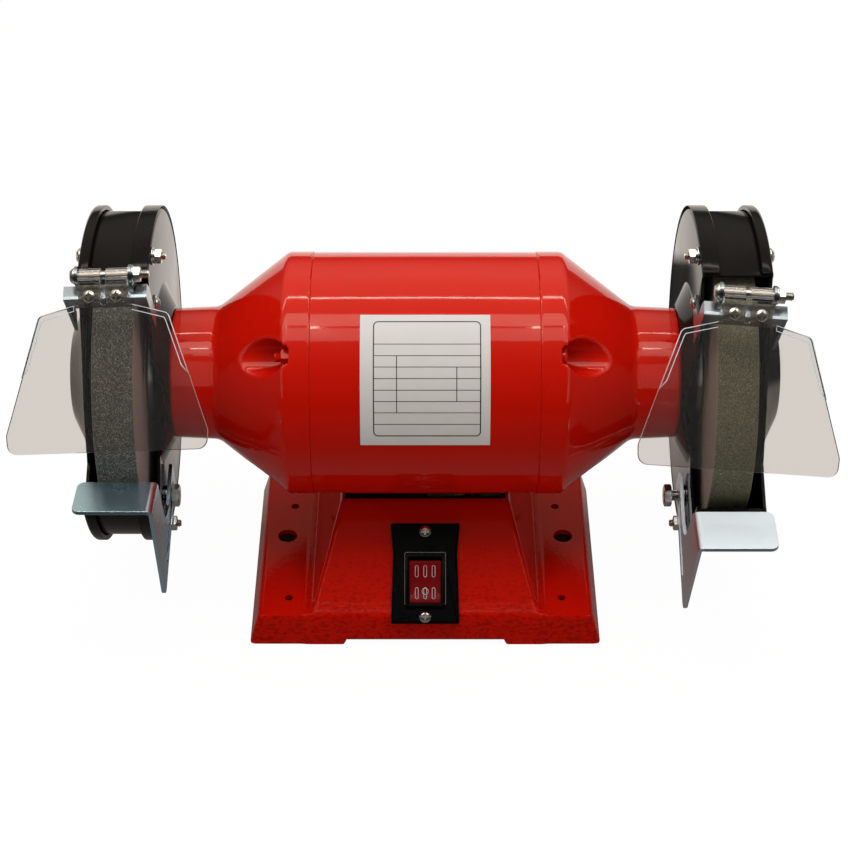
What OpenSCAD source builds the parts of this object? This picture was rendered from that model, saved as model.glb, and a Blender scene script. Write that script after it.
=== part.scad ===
// Twin-wheel bench grinder: totally enclosed motor on a pressed base, two guarded
// wheels, clear eye shields on spark brackets and adjustable tool rests.
// X runs along the spindle, -Y is the operator's side, Z = 0 is the bench.

/* [Spindle and wheels] */
// Height of the spindle axis above the bench
spindle_height = 115; // [112:0.5:135]
// Distance of the spindle axis behind the middle of the base
spindle_set_back = 16; // [10:0.5:22]
// Diameter of a new grinding wheel
wheel_d = 150; // [120:1:151]
// Thickness of a grinding wheel
wheel_w = 20; // [12:0.5:21]
// Distance from the middle of the motor to the middle of a wheel
wheel_x = 148.8; // [148:0.1:150]
// Diameter of the spindle where the wheels sit
arbor_d = 12.7; // [10:0.1:13.5]
// Diameter of the spindle in the bearings
journal_d = 15; // [14:0.1:16]
// Diameter of the spindle inside the rotor
rotor_shaft_d = 19; // [17:0.5:22]
// Outer diameter of the clamping flanges
flange_d = 52; // [40:1:56]
// Thickness of an inner clamping flange
inner_flange_t = 3.2; // [2:0.1:3.6]
// Thickness of an outer clamping flange
outer_flange_t = 3.4; // [2:0.1:4]
// Thickness of a paper blotter
blotter_t = 0.6; // [0.3:0.1:0.9]
// Diameter of a paper blotter
blotter_d = 66; // [56:1:80]
// Width across the flats of a spindle nut
spindle_nut_af = 19; // [17:0.5:22]
// Thickness of a spindle nut
spindle_nut_t = 6.5; // [4:0.5:8]

/* [Motor] */
// Outer diameter of the end bells
motor_d = 123; // [118:0.5:123.5]
// Wall of the motor tube
tube_wall = 2.5; // [2:0.1:3.5]
// Step from the end bells down to the motor tube, on the radius
seam_step = 0.3; // [0.1:0.1:1]
// Half length of the motor tube
tube_half = 56; // [53:0.5:60]
// Distance from the middle to the edge where the end bells turn conical
ridge_x = 68.6; // [66:0.1:72]
// Distance from the middle to the start of the neck
neck_x = 104.2; // [100:0.1:107]
// Radius of the neck at its start
neck_r0 = 33.8; // [31:0.1:35]
// Radius of the neck at its end
neck_r1 = 32.8; // [30.5:0.1:34]
// Distance from the middle to the end of the neck
neck_end_x = 126.5; // [125:0.1:127.5]
// Wall of the end bells
bell_wall = 3.5; // [2.5:0.1:4.5]
// Outer radius of a bearing
bearing_r = 17.5; // [16:0.1:19]
// Width of a bearing
bearing_w = 11; // [9:0.5:12]
// Radius of the circle of tie bolts
tie_r = 53; // [51.5:0.1:53.5]
// Diameter of a tie bolt
tie_d = 5; // [4:0.1:5.4]
// Radius of the pocket round a tie bolt's head
pocket_r = 8.8; // [7.5:0.1:9.2]
// Distance from the middle to the floor of a pocket
pocket_floor_x = 66; // [64:0.5:67]
// Half length of the stator core
stator_half = 24; // [18:0.5:30]
// Outer radius of the rotor core
rotor_r = 30; // [26:0.5:32]
// Air gap between rotor and stator
air_gap = 0.4; // [0.3:0.05:0.8]

/* [Base] */
// Width of the base on the bench
base_w = 179.4; // [170:0.5:200]
// Depth of the base on the bench
base_d = 124; // [118:0.5:134]
// Slope of the base's skirt, measured as its lean at the top
skirt_lean = 4.7; // [2:0.1:7]
// Height of the flange's top above the bench
flange_h = 17; // [14:0.5:22]
// Thickness of the base's walls
base_wall = 3; // [2:0.1:4]
// Half width of the raised foot where it meets the flange
foot_half = 58; // [54:0.5:62]
// Half width of the platform on top of the foot
platform_half = 43; // [40:0.5:48]
// Distance from the spindle axis forward to the platform's front edge
platform_front = 27; // [25:0.5:32]
// Distance from the spindle axis back to the platform's rear edge
platform_rear = 27; // [24:0.5:30]
// Forward reach of the front panel from the platform to the flange
panel_run = 48; // [44:0.5:52]
// Backward reach of the rear panel from the platform to the flange
rear_run = 13; // [8:0.5:18]
// Gap between the platform and the motor tube
motor_gap = 0.9; // [0.5:0.1:2]
// Half width of the relief under the skirt
relief_half = 41.5; // [36:0.5:50]
// Height of the relief under the skirt
relief_h = 3.5; // [2:0.1:5]
// Half distance between the bench-bolt holes
bolt_half = 73; // [70:0.5:76]
// Distance of the bench-bolt holes behind the middle of the base
bolt_y = 2; // [-4:0.5:8]
// Diameter of a bench-bolt hole
bolt_hole_d = 10; // [8:0.5:11]
// Diameter of the small holes in the flange
pilot_d = 4.2; // [3:0.1:5]

/* [Wheel guards] */
// Distance from the middle to the motor side of an inner guard
guard_x = 132.5; // [132:0.1:133.5]
// Outer radius of the guard rims
guard_r = 85; // [83:0.5:90]
// Thickness of the guard sheet
guard_t = 1.5; // [1.2:0.1:1.8]
// Distance from the middle to the outer face of a side cover
cover_x = 166.5; // [166:0.1:168]
// Reach of the pressed dome beyond the cover's face
dome_h = 10.5; // [9:0.5:14]
// Radius of the dome's flat end
dome_r = 26; // [24:0.5:32]
// Radius of the dome where it leaves the cover
dome_base_r = 50; // [46:0.5:54]
// Width of the rim on an inner guard
inner_rim_w = 8.5; // [6:0.5:12]
// Width of the rim on a side cover
cover_rim_w = 5.5; // [4:0.5:8]
// Outer radius of the band round the wheel
band_r = 82; // [80.5:0.1:82.3]
// Angle of the guard mouth above the horizontal, in degrees
mouth_top = 71; // [60:1:76]
// Angle of the guard mouth below the horizontal, in degrees
mouth_bottom = 18; // [10:1:24]
// Radius of the circle of cover screws
cover_screw_r = 78.4; // [78:0.1:78.6]
// Diameter of a cover screw
cover_screw_d = 3.9; // [3:0.1:4]

/* [Eye shields] */
// Thickness of a spark bracket's sheet
bracket_t = 1.5; // [1:0.1:1.8]
// Width over a spark bracket
bracket_w = 39; // [38.6:0.1:40]
// Distance of the shield rod from the spindle axis
rod_r = 104.6; // [103.5:0.1:108]
// Angle of the left shield rod above the horizontal, in degrees
left_rod_angle = 62.7; // [58:0.1:64]
// Angle of the right shield rod above the horizontal, in degrees
right_rod_angle = 57.5; // [54:0.1:64]
// Diameter of the shield rod
rod_d = 4; // [3.6:0.1:4.2]
// Outer diameter of a shield clip's tube
clip_d = 6.6; // [6:0.1:7]
// Angle of the left shield below the horizontal, in degrees
left_shield_angle = 51; // [46:0.5:54]
// Angle of the right shield below the horizontal, in degrees
right_shield_angle = 51; // [46:0.5:54]
// Sideways lean of the left shield unit, in degrees
left_roll = -1.9; // [-3:0.1:3]
// Sideways lean of the right shield unit, in degrees
right_roll = 4; // [-3:0.1:4.5]
// Width of a shield along its bottom edge
shield_w = 93.5; // [80:0.5:100]
// Width of a shield between its upper corners
shield_top_w = 60; // [50:0.5:66]
// Distance from the rod to a shield's bottom edge
shield_h = 82.5; // [60:0.5:95]
// Thickness of a shield
shield_t = 3; // [2:0.1:3.2]

/* [Tool rests] */
// Thickness of a tool rest's sheet
rest_t = 2; // [1.5:0.1:2]
// Reach of a tool rest's platform across the wheel
rest_w = 38.5; // [34:0.5:44]
// Depth of a tool rest's platform
rest_d = 26; // [20:0.5:30]
// Distance of the clamp bolt in front of the spindle axis
clamp_y = 34; // [30:0.5:36]
// Distance of the clamp bolt below the spindle axis
clamp_z = 53; // [50:0.5:55]
// Diameter of a clamp bolt
clamp_d = 6; // [5:0.1:6.2]
// Length of the slot in a tool rest's arm, between its end centres
slot_l = 41; // [30:0.5:44]
// Slope of the left tool rest's slot, in degrees
left_rest_angle = 17; // [14:0.5:20]
// Slope of the right tool rest's slot, in degrees
right_rest_angle = 26; // [23:0.5:29]
// How far the left tool rest is pushed in from its outer stop
left_rest_in = 5; // [4:0.5:6]
// How far the right clamp bolt is backed out
right_bolt_out = 3.5; // [0:0.5:4]

/* [Switch] */
// Width of the switch plate
plate_w = 35.5; // [32:0.5:44]
// Length of the switch plate
plate_l = 52; // [50:0.5:54]
// Distance from the platform's edge down to the switch plate
plate_top = 12.7; // [11:0.1:14]
// Thickness of the switch plate
plate_t = 1.6; // [1:0.1:2.5]
// Width of the switch's bezel beside the rocker
bezel_side = 1.9; // [1.8:0.1:2.6]
// Width of the switch's bezel at the ends of the rocker
bezel_end = 2.7; // [2.5:0.1:3.5]
// Width of the rocker
rocker_w = 16.4; // [14:0.1:17]
// Length of the rocker
rocker_l = 22; // [19:0.5:22.5]
// Travel of the rocker, in degrees
rocker_travel = 14; // [8:1:16]

/* [Nameplate] */
// Width of the rating plate
nameplate_w = 63; // [50:0.5:80]
// Angle from the front horizontal up to the middle of the rating plate
nameplate_angle = 33; // [25:1:45]
// Length of the rating plate round the tube, in degrees
nameplate_arc = 62; // [40:1:80]

/* [Hidden] */
$fn = 48;
far = 400;          // longer than anything in the grinder
eps = 0.01;         // overlap that keeps a cut clean
run_fit = 0.05;     // running clearance on the radius
rest_gap = 1.2;     // gap between a tool rest and its guard, which a washer takes up
washer_fit = 0.1;   // play on each face of that washer
loose_fit = 0.3;    // clearance on the radius of a screw in its hole
hex_round = 2 / sqrt(3);

bell_r = motor_d / 2;
tube_r = bell_r - seam_step;
tube_in_r = tube_r - tube_wall;
spigot_l = 5;
spigot_t = 2;
bearing_x = neck_end_x - 2.5 - bearing_w;
stator_r = tube_in_r - run_fit;
stator_in_r = rotor_r + air_gap;
coil_r0 = stator_in_r + 4;
coil_r1 = tie_r - tie_d / 2 - 3;
coil_reach = 14;
tie_head_h = 3.2;
tie_nut_h = 4;

wheel_r = wheel_d / 2;
wheel_in_x = wheel_x - wheel_w / 2;
wheel_out_x = wheel_x + wheel_w / 2;
flange_in_x = wheel_in_x - blotter_t;
flange_out_x = wheel_out_x + blotter_t;
shoulder_x = flange_in_x - inner_flange_t;
nut_x = flange_out_x + outer_flange_t;
spindle_end = nut_x + spindle_nut_t + 1;

guard_in_x = guard_x + guard_t;
cover_in_x = cover_x - guard_t;
rim_t = guard_r - band_r;
cover_gap = 0.6;

platform_z = spindle_height - tube_r - motor_gap;
platform_y0 = spindle_set_back - platform_front;
platform_front_edge = [platform_y0, platform_z];
platform_y1 = spindle_set_back + platform_rear;
panel_foot_y = platform_y0 - panel_run;
panel_angle = atan2(platform_z - flange_h, panel_run);
rear_angle = atan2(platform_z - flange_h, rear_run);
skirt_front_lean = base_d / 2 + panel_foot_y;
bend_from = 0.9;    // share of the panel that stays flat before it bends into the skirt

shield_off = 1 + shield_t / 2;
clip_w = 10.1;
clip_pitch = 12.6;
clip_screw_h = 10;
clip_flap_l = 13;
tongue_top = 5.5;
shield_top = 14;
corner_h = 19;
flare_h = 76;
tab_gap = 0.4;
tab_x = clip_pitch / 2 + clip_w / 2 + tab_gap;
unit_x = guard_x - 2 + bracket_w / 2;
bracket_foot_r = 64.6;
bracket_foot_angle = 68.2;
bracket_screw_d = 3;

rest_x = guard_x - rest_gap - rest_t;
clamp_head_h = 4;
clamp_af = 10;
clamp_shank = 7;
slot_w = clamp_d + 2 * run_fit;
arm_half = 8;
arm_tail = 9.5;
arm_tip = 60;
ledge_u = 33;
ledge_v = 55.4;
ledge_tilt = 24;

switch_s = 43;
rocker_drop = 4.5;
rocker_gap = 0.5;
pivot_r = 1.2;
switch_depth = 16;
switch_wall = 1;
plate_lift = 1.2;
rocker_side = 0.25;
rocker_room = 12;
pivot_h = plate_lift + plate_t - rocker_drop;
bezel_w = rocker_w + 2 * bezel_side;
bezel_l = rocker_l + 2 * bezel_end;
room_w = rocker_w + 2 * rocker_side;
room_l = rocker_l + 2 * rocker_gap + 0.8;
housing_w = room_w + 2 * switch_wall;
housing_l = room_l + 2 * switch_wall;

// ---- helpers ----

// Moves children from the spindle's own frame to their place above the bench.
module at_spindle() {
    translate([0, spindle_set_back, spindle_height]) children();
}

// Draws children for one side; the left side mirrors the right one.
module side(s) {
    if (s > 0) children();
    else mirror([1, 0, 0]) children();
}

// A cylinder along the spindle from x0 to x1.
module bar_x(r, x0, x1) {
    translate([x0, 0, 0]) rotate([0, 90, 0]) cylinder(r = r, h = x1 - x0);
}

// A hexagon along the spindle from x0 to x1, across the flats af.
module hex_x(af, x0, x1) {
    translate([x0, 0, 0]) rotate([0, 90, 0]) cylinder(d = af * hex_round, h = x1 - x0, $fn = 6);
}

// Turns an outline of [x, r] points about the spindle.
module lathe_x(points) {
    rotate([0, 90, 0]) rotate_extrude($fn = 96) polygon([for (p = points) [p[1], p[0]]]);
}

// Extrudes a 2D outline drawn in Y and Z along X, from x0 to x1.
module sheet_x(x0, x1) {
    translate([x0, 0, 0]) rotate([90, 0, 90]) linear_extrude(x1 - x0) children();
}

// Point on a circle of radius r, at an angle above the front horizontal.
function front_point(r, angle) = [-r * cos(angle), r * sin(angle)];

// Points of an arc between two angles, measured as front_point does.
function front_arc(r, a0, a1, n = 24) =
    [for (i = [0:n]) front_point(r, a0 + (a1 - a0) * i / n)];

// Moves children to a point at radius r and an angle above the front horizontal.
module on_circle(r, angle) {
    translate([0, -r * cos(angle), r * sin(angle)]) children();
}

// Rounded rectangle from exact circles and squares.
module round_rect(w, h, r) {
    square([w - 2 * r, h], center = true);
    square([w, h - 2 * r], center = true);
    for (x = [-1, 1], y = [-1, 1]) translate([x * (w / 2 - r), y * (h / 2 - r)]) circle(r);
}

// ---- base ----

// Side outline of the raised foot, shrunk by t for the hollow inside it.
module foot_side(t) {
    flat = platform_front_edge + panel_run * bend_from * [-1, -tan(panel_angle)];
    inward = t * [sin(panel_angle), -cos(panel_angle)];
    corner = [panel_foot_y, flange_h];
    toe = [-base_d / 2, 0];
    rear_in = t * tan(rear_angle / 2);
    polygon(concat(
        [platform_front_edge + [t * tan(panel_angle / 2), -t]],
        [for (i = [0:8]) bend_point(flat + inward, corner + t * [1, -0.4], toe + [t, -t], i / 8)],
        [[base_d / 2 - t, -t], [platform_y1 + rear_run - rear_in, flange_h - t]],
        [[platform_y1 - rear_in, platform_z - t]]
    ));
}

// Quadratic curve from a to c that leaves and arrives along the lines through b.
function bend_point(a, b, c, u) =
    a * pow(1 - u, 2) + b * 2 * u * (1 - u) + c * pow(u, 2);

// Front outline of the raised foot, shrunk by t.
module foot_front(t) {
    polygon([
        [-foot_half - 2 + t, -t], [-foot_half + t, flange_h],
        [-platform_half + t, platform_z - t], [platform_half - t, platform_z - t],
        [foot_half - t, flange_h], [foot_half + 2 - t, -t],
    ]);
}

// The whole base as a solid block, shrunk by t.
module base_block(t) {
    intersection() {
        sheet_x(-far, far) foot_side(t);
        rotate([90, 0, 0]) translate([0, 0, -far]) linear_extrude(2 * far) foot_front(t);
    }
    intersection() {
        sheet_x(-far, far) polygon([
            [-base_d / 2 + t, -t], [panel_foot_y + t, flange_h - t],
            [base_d / 2 - skirt_front_lean - t, flange_h - t], [base_d / 2 - t, -t],
        ]);
        rotate([90, 0, 0]) translate([0, 0, -far]) linear_extrude(2 * far) polygon([
            [-base_w / 2 + t, -t], [-base_w / 2 + skirt_lean + t, flange_h - t],
            [base_w / 2 - skirt_lean - t, flange_h - t], [base_w / 2 - t, -t],
        ]);
        translate([0, 0, -t]) linear_extrude(far)
            round_rect(base_w - 2 * t, base_d - 2 * t, 8 - t);
    }
}

module base_shell() color("#b5160e") {
    difference() {
        union() {
            difference() {
                base_block(0);
                base_block(base_wall);
            }
            for (p = plate_screw_points) translate([p[0], p[1], bottom_plate_z + bottom_plate_t])
                cylinder(r = 4, h = flange_h - bottom_plate_z - bottom_plate_t - eps);
        }
        translate([-relief_half, -far / 2, -eps]) cube([2 * relief_half, far, relief_h]);
        for (s = [-1, 1]) {
            translate([s * bolt_half, bolt_y, 0]) cylinder(d = bolt_hole_d, h = far / 2);
            for (y = pilot_ys) translate([s * pilot_x, y, 0]) cylinder(d = pilot_d, h = far / 2);
        }
        for (x = [-saddle_x, saddle_x], y = saddle_ys)
            translate([x, y, 0]) cylinder(d = saddle_d + 2 * loose_fit, h = far);
        translate([lead_x, spindle_set_back, 0]) cylinder(d = lead_hole_d, h = far);
        on_panel(switch_s) cube([housing_w + 0.2, housing_l + 0.2, 30], center = true);
        for (s = switch_screw_s) on_panel(s) cylinder(d = switch_screw_d - 0.4, h = 30, center = true);
        at_gland() translate([0, 0, -15]) cylinder(r = gland_r, h = 30);
        for (p = plate_screw_points)
            translate([p[0], p[1], 0]) cylinder(d = plate_screw_d, h = flange_h - 4);
    }
}

pilot_x = bolt_half - 3;
pilot_ys = [-base_d / 2 + 16, base_d / 2 - 36];
saddle_x = platform_half - 13;
saddle_ys = [spindle_set_back - 13, spindle_set_back + 13];
saddle_d = 5;
saddle_head_h = 3;
lead_hole_d = 10;
lead_x = stator_half + 10;
plate_screw_d = 3;
plate_screw_points = [
    for (x = [-1, 1], y = [-1, 1]) [x * (foot_half + 3.5), y * (base_d / 2 - 12)]
];

// Puts children on the front panel, s down from the platform's edge, facing out.
module on_panel(s) {
    translate([0, platform_y0 - s * cos(panel_angle), platform_z - s * sin(panel_angle)])
        rotate([panel_angle, 0, 0]) children();
}

bottom_plate_t = 1.5;
bottom_plate_z = relief_h + 0.5;
module bottom_plate() color("#5a5d60") {
    difference() {
        translate([0, 0, bottom_plate_z]) linear_extrude(bottom_plate_t)
            round_rect(2 * foot_half + 15, base_d - 2 * base_wall - 8, 4);
        for (p = plate_screw_points) translate([p[0], p[1], 0]) cylinder(d = 3.4, h = far / 2);
    }
}

module bottom_plate_screws() color("silver") {
    for (p = plate_screw_points) translate([p[0], p[1], bottom_plate_z]) {
        translate([0, 0, -1.8]) cylinder(r = 2.9, h = 1.8);
        cylinder(d = plate_screw_d - 0.1, h = 7);
    }
}

module saddle_screws() color("silver") {
    for (x = [-saddle_x, saddle_x], y = saddle_ys) translate([x, y, platform_z - base_wall]) {
        translate([0, 0, -saddle_head_h]) cylinder(r = 4.2, h = saddle_head_h);
        cylinder(d = saddle_d - 0.1, h = base_wall + motor_gap + 2.4);
    }
}

// ---- motor ----

module motor_tube() color("#b5160e") {
    difference() {
        union() {
            at_spindle() bar_x(tube_r, -tube_half, tube_half);
            translate([-platform_half + 3, spindle_set_back - 22, platform_z])
                cube([2 * platform_half - 6, 44, spindle_height - platform_z]);
        }
        at_spindle() bar_x(tube_in_r, -far, far);
        for (x = [-saddle_x, saddle_x], y = saddle_ys)
            translate([x, y, platform_z - eps]) cylinder(d = saddle_d, h = motor_gap + 2.5);
        translate([lead_x, spindle_set_back, 0]) cylinder(d = lead_hole_d, h = spindle_height);
    }
}

tie_angles = [45, 135, 225, 315];

// One end bell of the motor, on the right side.
module end_bell() {
    hub_r = neck_r1 - bell_wall;
    outer = [
        [tube_half, bell_r], [ridge_x, bell_r], [neck_x, neck_r0], [neck_end_x, neck_r1],
    ];
    difference() {
        union() {
            lathe_x(concat(outer, [
                [neck_end_x, journal_d / 2 + 1],
                [bearing_x + bearing_w, journal_d / 2 + 1],
                [bearing_x + bearing_w, bearing_r],
                [bearing_x, bearing_r],
                [bearing_x, hub_r],
                [neck_x, neck_r0 - bell_wall],
                [ridge_x, bell_r - bell_wall - 1.5],
                [tube_half, bell_r - bell_wall - 1.5],
                [tube_half - spigot_l, tube_in_r - spigot_t],
                [tube_half - spigot_l, tube_in_r - run_fit],
                [tube_half, tube_in_r - run_fit],
            ]));
            intersection() {
                for (a = tie_angles) on_circle(tie_r, a)
                    bar_x(pocket_r + 2, pocket_floor_x - 4, neck_x);
                lathe_x(concat(outer, [[neck_end_x, 1], [tube_half, 1]]));
            }
        }
        for (a = tie_angles) on_circle(tie_r, a) {
            bar_x(pocket_r, pocket_floor_x, far);
            bar_x(tie_d / 2 + 0.2, 0, far);
        }
        for (a = guard_screw_angles) on_circle(guard_screw_r, a)
            bar_x(guard_screw_d / 2, neck_end_x - 9, far);
    }
}

guard_screw_angles = [90, 210, 330];
guard_screw_r = 25;
guard_screw_d = 5;

module left_end_bell() color("#b5160e") at_spindle() side(-1) end_bell();
module right_end_bell() color("#b5160e") at_spindle() side(1) end_bell();

module tie_bolts() color("#a8140d") at_spindle() {
    for (a = tie_angles) on_circle(tie_r, a) {
        bar_x(tie_d / 2, -pocket_floor_x - tie_nut_h - 3, pocket_floor_x);
        bar_x(4.7, pocket_floor_x, pocket_floor_x + tie_head_h);
    }
}

module tie_nuts() color("#a8140d") at_spindle() {
    for (a = tie_angles) on_circle(tie_r, a) difference() {
        hex_x(8, -pocket_floor_x - tie_nut_h, -pocket_floor_x);
        bar_x(tie_d / 2 + eps, -far, far);
    }
}

coil_slots = 12;
module stator_core() color("#6d7074") at_spindle() {
    difference() {
        bar_x(stator_r, -stator_half, stator_half);
        bar_x(stator_in_r, -far, far);
        for (a = tie_angles) on_circle(tie_r, a) bar_x(tie_d / 2 + 0.4, -far, far);
        for (i = [1:coil_slots]) rotate([i * 360 / coil_slots, 0, 0])
            translate([-far, -2.5, coil_r0 + 1]) cube([2 * far, 5, coil_r1 - coil_r0 - 2]);
    }
}

module stator_windings() color("#a5562a") at_spindle() {
    for (s = [-1, 1]) side(s) difference() {
        bar_x(coil_r1, stator_half + 1, stator_half + coil_reach);
        bar_x(coil_r0, 0, far);
    }
    for (i = [1:coil_slots]) rotate([i * 360 / coil_slots, 0, 0])
        translate([-stator_half - 2, -2.2, coil_r0 + 1.5])
            cube([2 * stator_half + 4, 4.4, coil_r1 - coil_r0 - 3]);
}

// A ball bearing as its closed outline, with a running fit on the spindle.
module bearing() {
    difference() {
        bar_x(bearing_r - run_fit, bearing_x, bearing_x + bearing_w);
        bar_x(journal_d / 2 + run_fit, 0, far);
        for (x = [bearing_x, bearing_x + bearing_w - 0.8]) difference() {
            bar_x(bearing_r - 3, x - eps, x + 0.8 + eps);
            bar_x(journal_d / 2 + 2.5, 0, far);
        }
    }
}

module left_bearing() color("silver") at_spindle() side(-1) bearing();
module right_bearing() color("silver") at_spindle() side(1) bearing();

nameplate_t = 0.35;
nameplate_glue = 0.05;
module rating_plate() color("#c9ccd0") at_spindle() {
    intersection() {
        difference() {
            bar_x(tube_r + nameplate_t, -nameplate_w / 2, nameplate_w / 2);
            bar_x(tube_r + nameplate_glue, -far, far);
        }
        sheet_x(-far, far) polygon(concat([[0, 0]], front_arc(
            bell_r * 2, nameplate_angle - nameplate_arc / 2, nameplate_angle + nameplate_arc / 2, 8
        )));
    }
}

// ---- switch and wiring in the base ----

switch_screw_d = 4;
switch_screw_s = [plate_top + 4.5, plate_top + plate_l - 3.5];

module switch_plate() color("#17181a") {
    difference() {
        on_panel(plate_top + plate_l / 2) translate([0, 0, plate_lift])
            linear_extrude(plate_t) polygon([
                [-plate_w / 2, plate_l / 2], [plate_w / 2, plate_l / 2],
                [plate_w / 2 - 1.4, plate_l / 2 - 16], [plate_w / 2 - 0.4, -plate_l / 2],
                [-plate_w / 2 + 0.4, -plate_l / 2], [-plate_w / 2 + 1.4, plate_l / 2 - 16],
            ]);
        on_panel(switch_s) cube([housing_w + 0.2, housing_l + 0.2, 30], center = true);
        for (s = switch_screw_s) on_panel(s)
            cylinder(d = switch_screw_d + 0.4, h = 30, center = true);
    }
    on_panel(switch_s) difference() {
        translate([0, 0, plate_lift / 2 + 0.2])
            cube([housing_w + 4, housing_l + 4, plate_lift + 0.4], center = true);
        cube([housing_w + 0.2, housing_l + 0.2, 30], center = true);
    }
}

module switch_screws() color("silver") {
    for (s = switch_screw_s) on_panel(s) translate([0, 0, plate_lift + plate_t]) {
        cylinder(d1 = 6.4, d2 = 4.6, h = 1.8);
        translate([0, 0, -8]) cylinder(d = switch_screw_d - 0.5, h = 8);
    }
}

// The switch's housing: a bezel on the plate and a hollow body through it.
module switch_body() color("#1c1d1f") {
    top = plate_lift + plate_t;
    on_panel(switch_s) difference() {
        union() {
            translate([0, 0, top]) linear_extrude(1.8) round_rect(bezel_w, bezel_l, 1.5);
            translate([0, 0, top - switch_depth]) linear_extrude(switch_depth + eps)
                square([housing_w, housing_l], center = true);
        }
        translate([0, 0, top - rocker_room]) linear_extrude(far)
            square([room_w, room_l], center = true);
        translate([0, 0, pivot_h]) bar_x(pivot_r + run_fit, -far, far);
    }
    on_panel(switch_s) for (x = [-5, 0, 5]) translate([x, 0, top - switch_depth - 4])
        linear_extrude(4 + eps) square([0.8, 6], center = true);
}

// The rocker at rest has its lower end pressed in.
module switch_rocker() color("#c41f1a") {
    on_panel(switch_s) translate([0, 0, pivot_h]) {
        bar_x(pivot_r, -housing_w / 2 + 0.2, housing_w / 2 - 0.2);
        sheet_x(-rocker_w / 2, rocker_w / 2) rotate(rocker_travel / 2) polygon([
            [-rocker_l / 2, 2.6], [-rocker_l / 2, 6.2], [-rocker_l / 4, 5], [0, 4.4],
            [rocker_l / 4, 5], [rocker_l / 2, 6.2], [rocker_l / 2, 2.6],
            [3, -2.6], [-3, -2.6],
        ]);
    }
}

// Leads from the switch's tabs back to the terminal block.
module switch_leads() color("#2b2e6b") {
    lead_r = 1.1;
    tab = on_panel_point(switch_s, plate_lift + plate_t - switch_depth - 4 - lead_r - 0.1);
    for (x = [-5, 5]) hull() {
        translate([x, tab[0], tab[1]]) sphere(lead_r, $fn = 16);
        translate([x * 1.5, block_y - block_d / 2 - lead_r - 0.1, block_z + block_h / 2])
            sphere(lead_r, $fn = 16);
    }
}

// [y, z] of a point s down the panel and n out from it.
function on_panel_point(s, n) = [
    platform_y0 - s * cos(panel_angle) - n * sin(panel_angle),
    platform_z - s * sin(panel_angle) + n * cos(panel_angle),
];

block_z = bottom_plate_z + bottom_plate_t;
block_h = 8;
block_d = 10;
block_y = 4;
module terminal_block() color("#d8d8d2") {
    difference() {
        translate([-16, block_y - block_d / 2, block_z]) cube([32, block_d, block_h]);
        for (x = [-12:6:12]) translate([x, block_y, block_z + 4]) cylinder(d = 2.6, h = far / 4);
    }
}

cap_r = 12;
cap_l = 40;
cap_x = 1;
cap_y = 34;
module at_capacitor() {
    translate([cap_x, cap_y, block_z + cap_r + 1.3]) rotate([0, 90, 0]) children();
}

module capacitor() color("#c8cbd0") at_capacitor() {
    cylinder(r = cap_r, h = cap_l);
    for (s = [-4, 4]) translate([s, 0, cap_l]) cylinder(r = 1.2, h = 5);
}

module capacitor_clip() color("silver") {
    at_capacitor() translate([0, 0, cap_l / 2 - 5]) difference() {
        cylinder(r = cap_r + 1.2, h = 10);
        translate([0, 0, -1]) cylinder(r = cap_r + 0.05, h = 12);
    }
    translate([cap_x + cap_l / 2 - 5, cap_y, block_z]) cube([10, 20, 1.2]);
}

// Leads from the windings through the tube and platform to the terminal block.
module motor_leads() color("#7a1f1b") {
    lead_r = 1.3;
    coil_z = spindle_height - coil_r1 - lead_r - 0.1;
    for (x = [-1, 1]) {
        hull() for (z = [coil_z, platform_z - base_wall])
            translate([lead_x + x * 1.9, spindle_set_back, z]) sphere(lead_r, $fn = 16);
        hull() {
            translate([lead_x + x * 1.9, spindle_set_back, platform_z - base_wall])
                sphere(lead_r, $fn = 16);
            translate([9 + x * 3, block_y, block_z + block_h + lead_r]) sphere(lead_r, $fn = 16);
        }
    }
}

gland_r = 7;
module at_gland() {
    translate([-20, platform_y1 + rear_run / 2, (platform_z + flange_h) / 2])
        rotate([-rear_angle, 0, 0]) children();
}

// Cord inlet on the rear panel; the bore takes the supply cord.
module cable_gland() color("#1b1c1e") at_gland() difference() {
    union() {
        translate([0, 0, -6]) cylinder(r = gland_r - 0.05, h = 6.2);
        cylinder(r = 10, h = 3);
        translate([0, 0, 3 - eps]) cylinder(r1 = 8, r2 = 6, h = 9);
        translate([0, 0, -9]) cylinder(d = 19, h = 9 - base_wall - 0.05, $fn = 6);
    }
    translate([0, 0, -20]) cylinder(r = 3.6, h = 40);
}

// ---- wheel guards ----

// Region in front of the guard's sheets; the cut leaves the wheel's face open.
module mouth(inner_pts) {
    polygon(concat(
        [front_point(guard_r * 1.5, mouth_top), front_point(guard_r * 0.94, mouth_top)],
        inner_pts,
        [front_point(guard_r * 0.94, -mouth_bottom), front_point(guard_r * 1.5, -mouth_bottom)],
        [front_point(guard_r * 3, 0), front_point(guard_r * 3, mouth_top)]
    ));
}

inner_mouth = [[-30, 45], [-38, -18], [-50, -34], [-68, -40]];
cover_mouth = [[-34, 46], [-47, 16], [-56, -14]];

band_back = 0.5;
// Band of the guard, closed except across the mouth; its ends stand a little back, in degrees.
module band_ring(r0, r1, x0, x1) {
    difference() {
        bar_x(r1, x0, x1);
        bar_x(r0, x0 - 1, x1 + 1);
        sheet_x(x0 - 1, x1 + 1) polygon(concat(
            [[0, 0]],
            front_arc(guard_r * 1.5, -mouth_bottom - band_back, mouth_top + band_back, 8)
        ));
    }
}

boss_r0 = 34;
boss_r1 = 46;
cover_screw_angles = [83, 194, -62];

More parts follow.
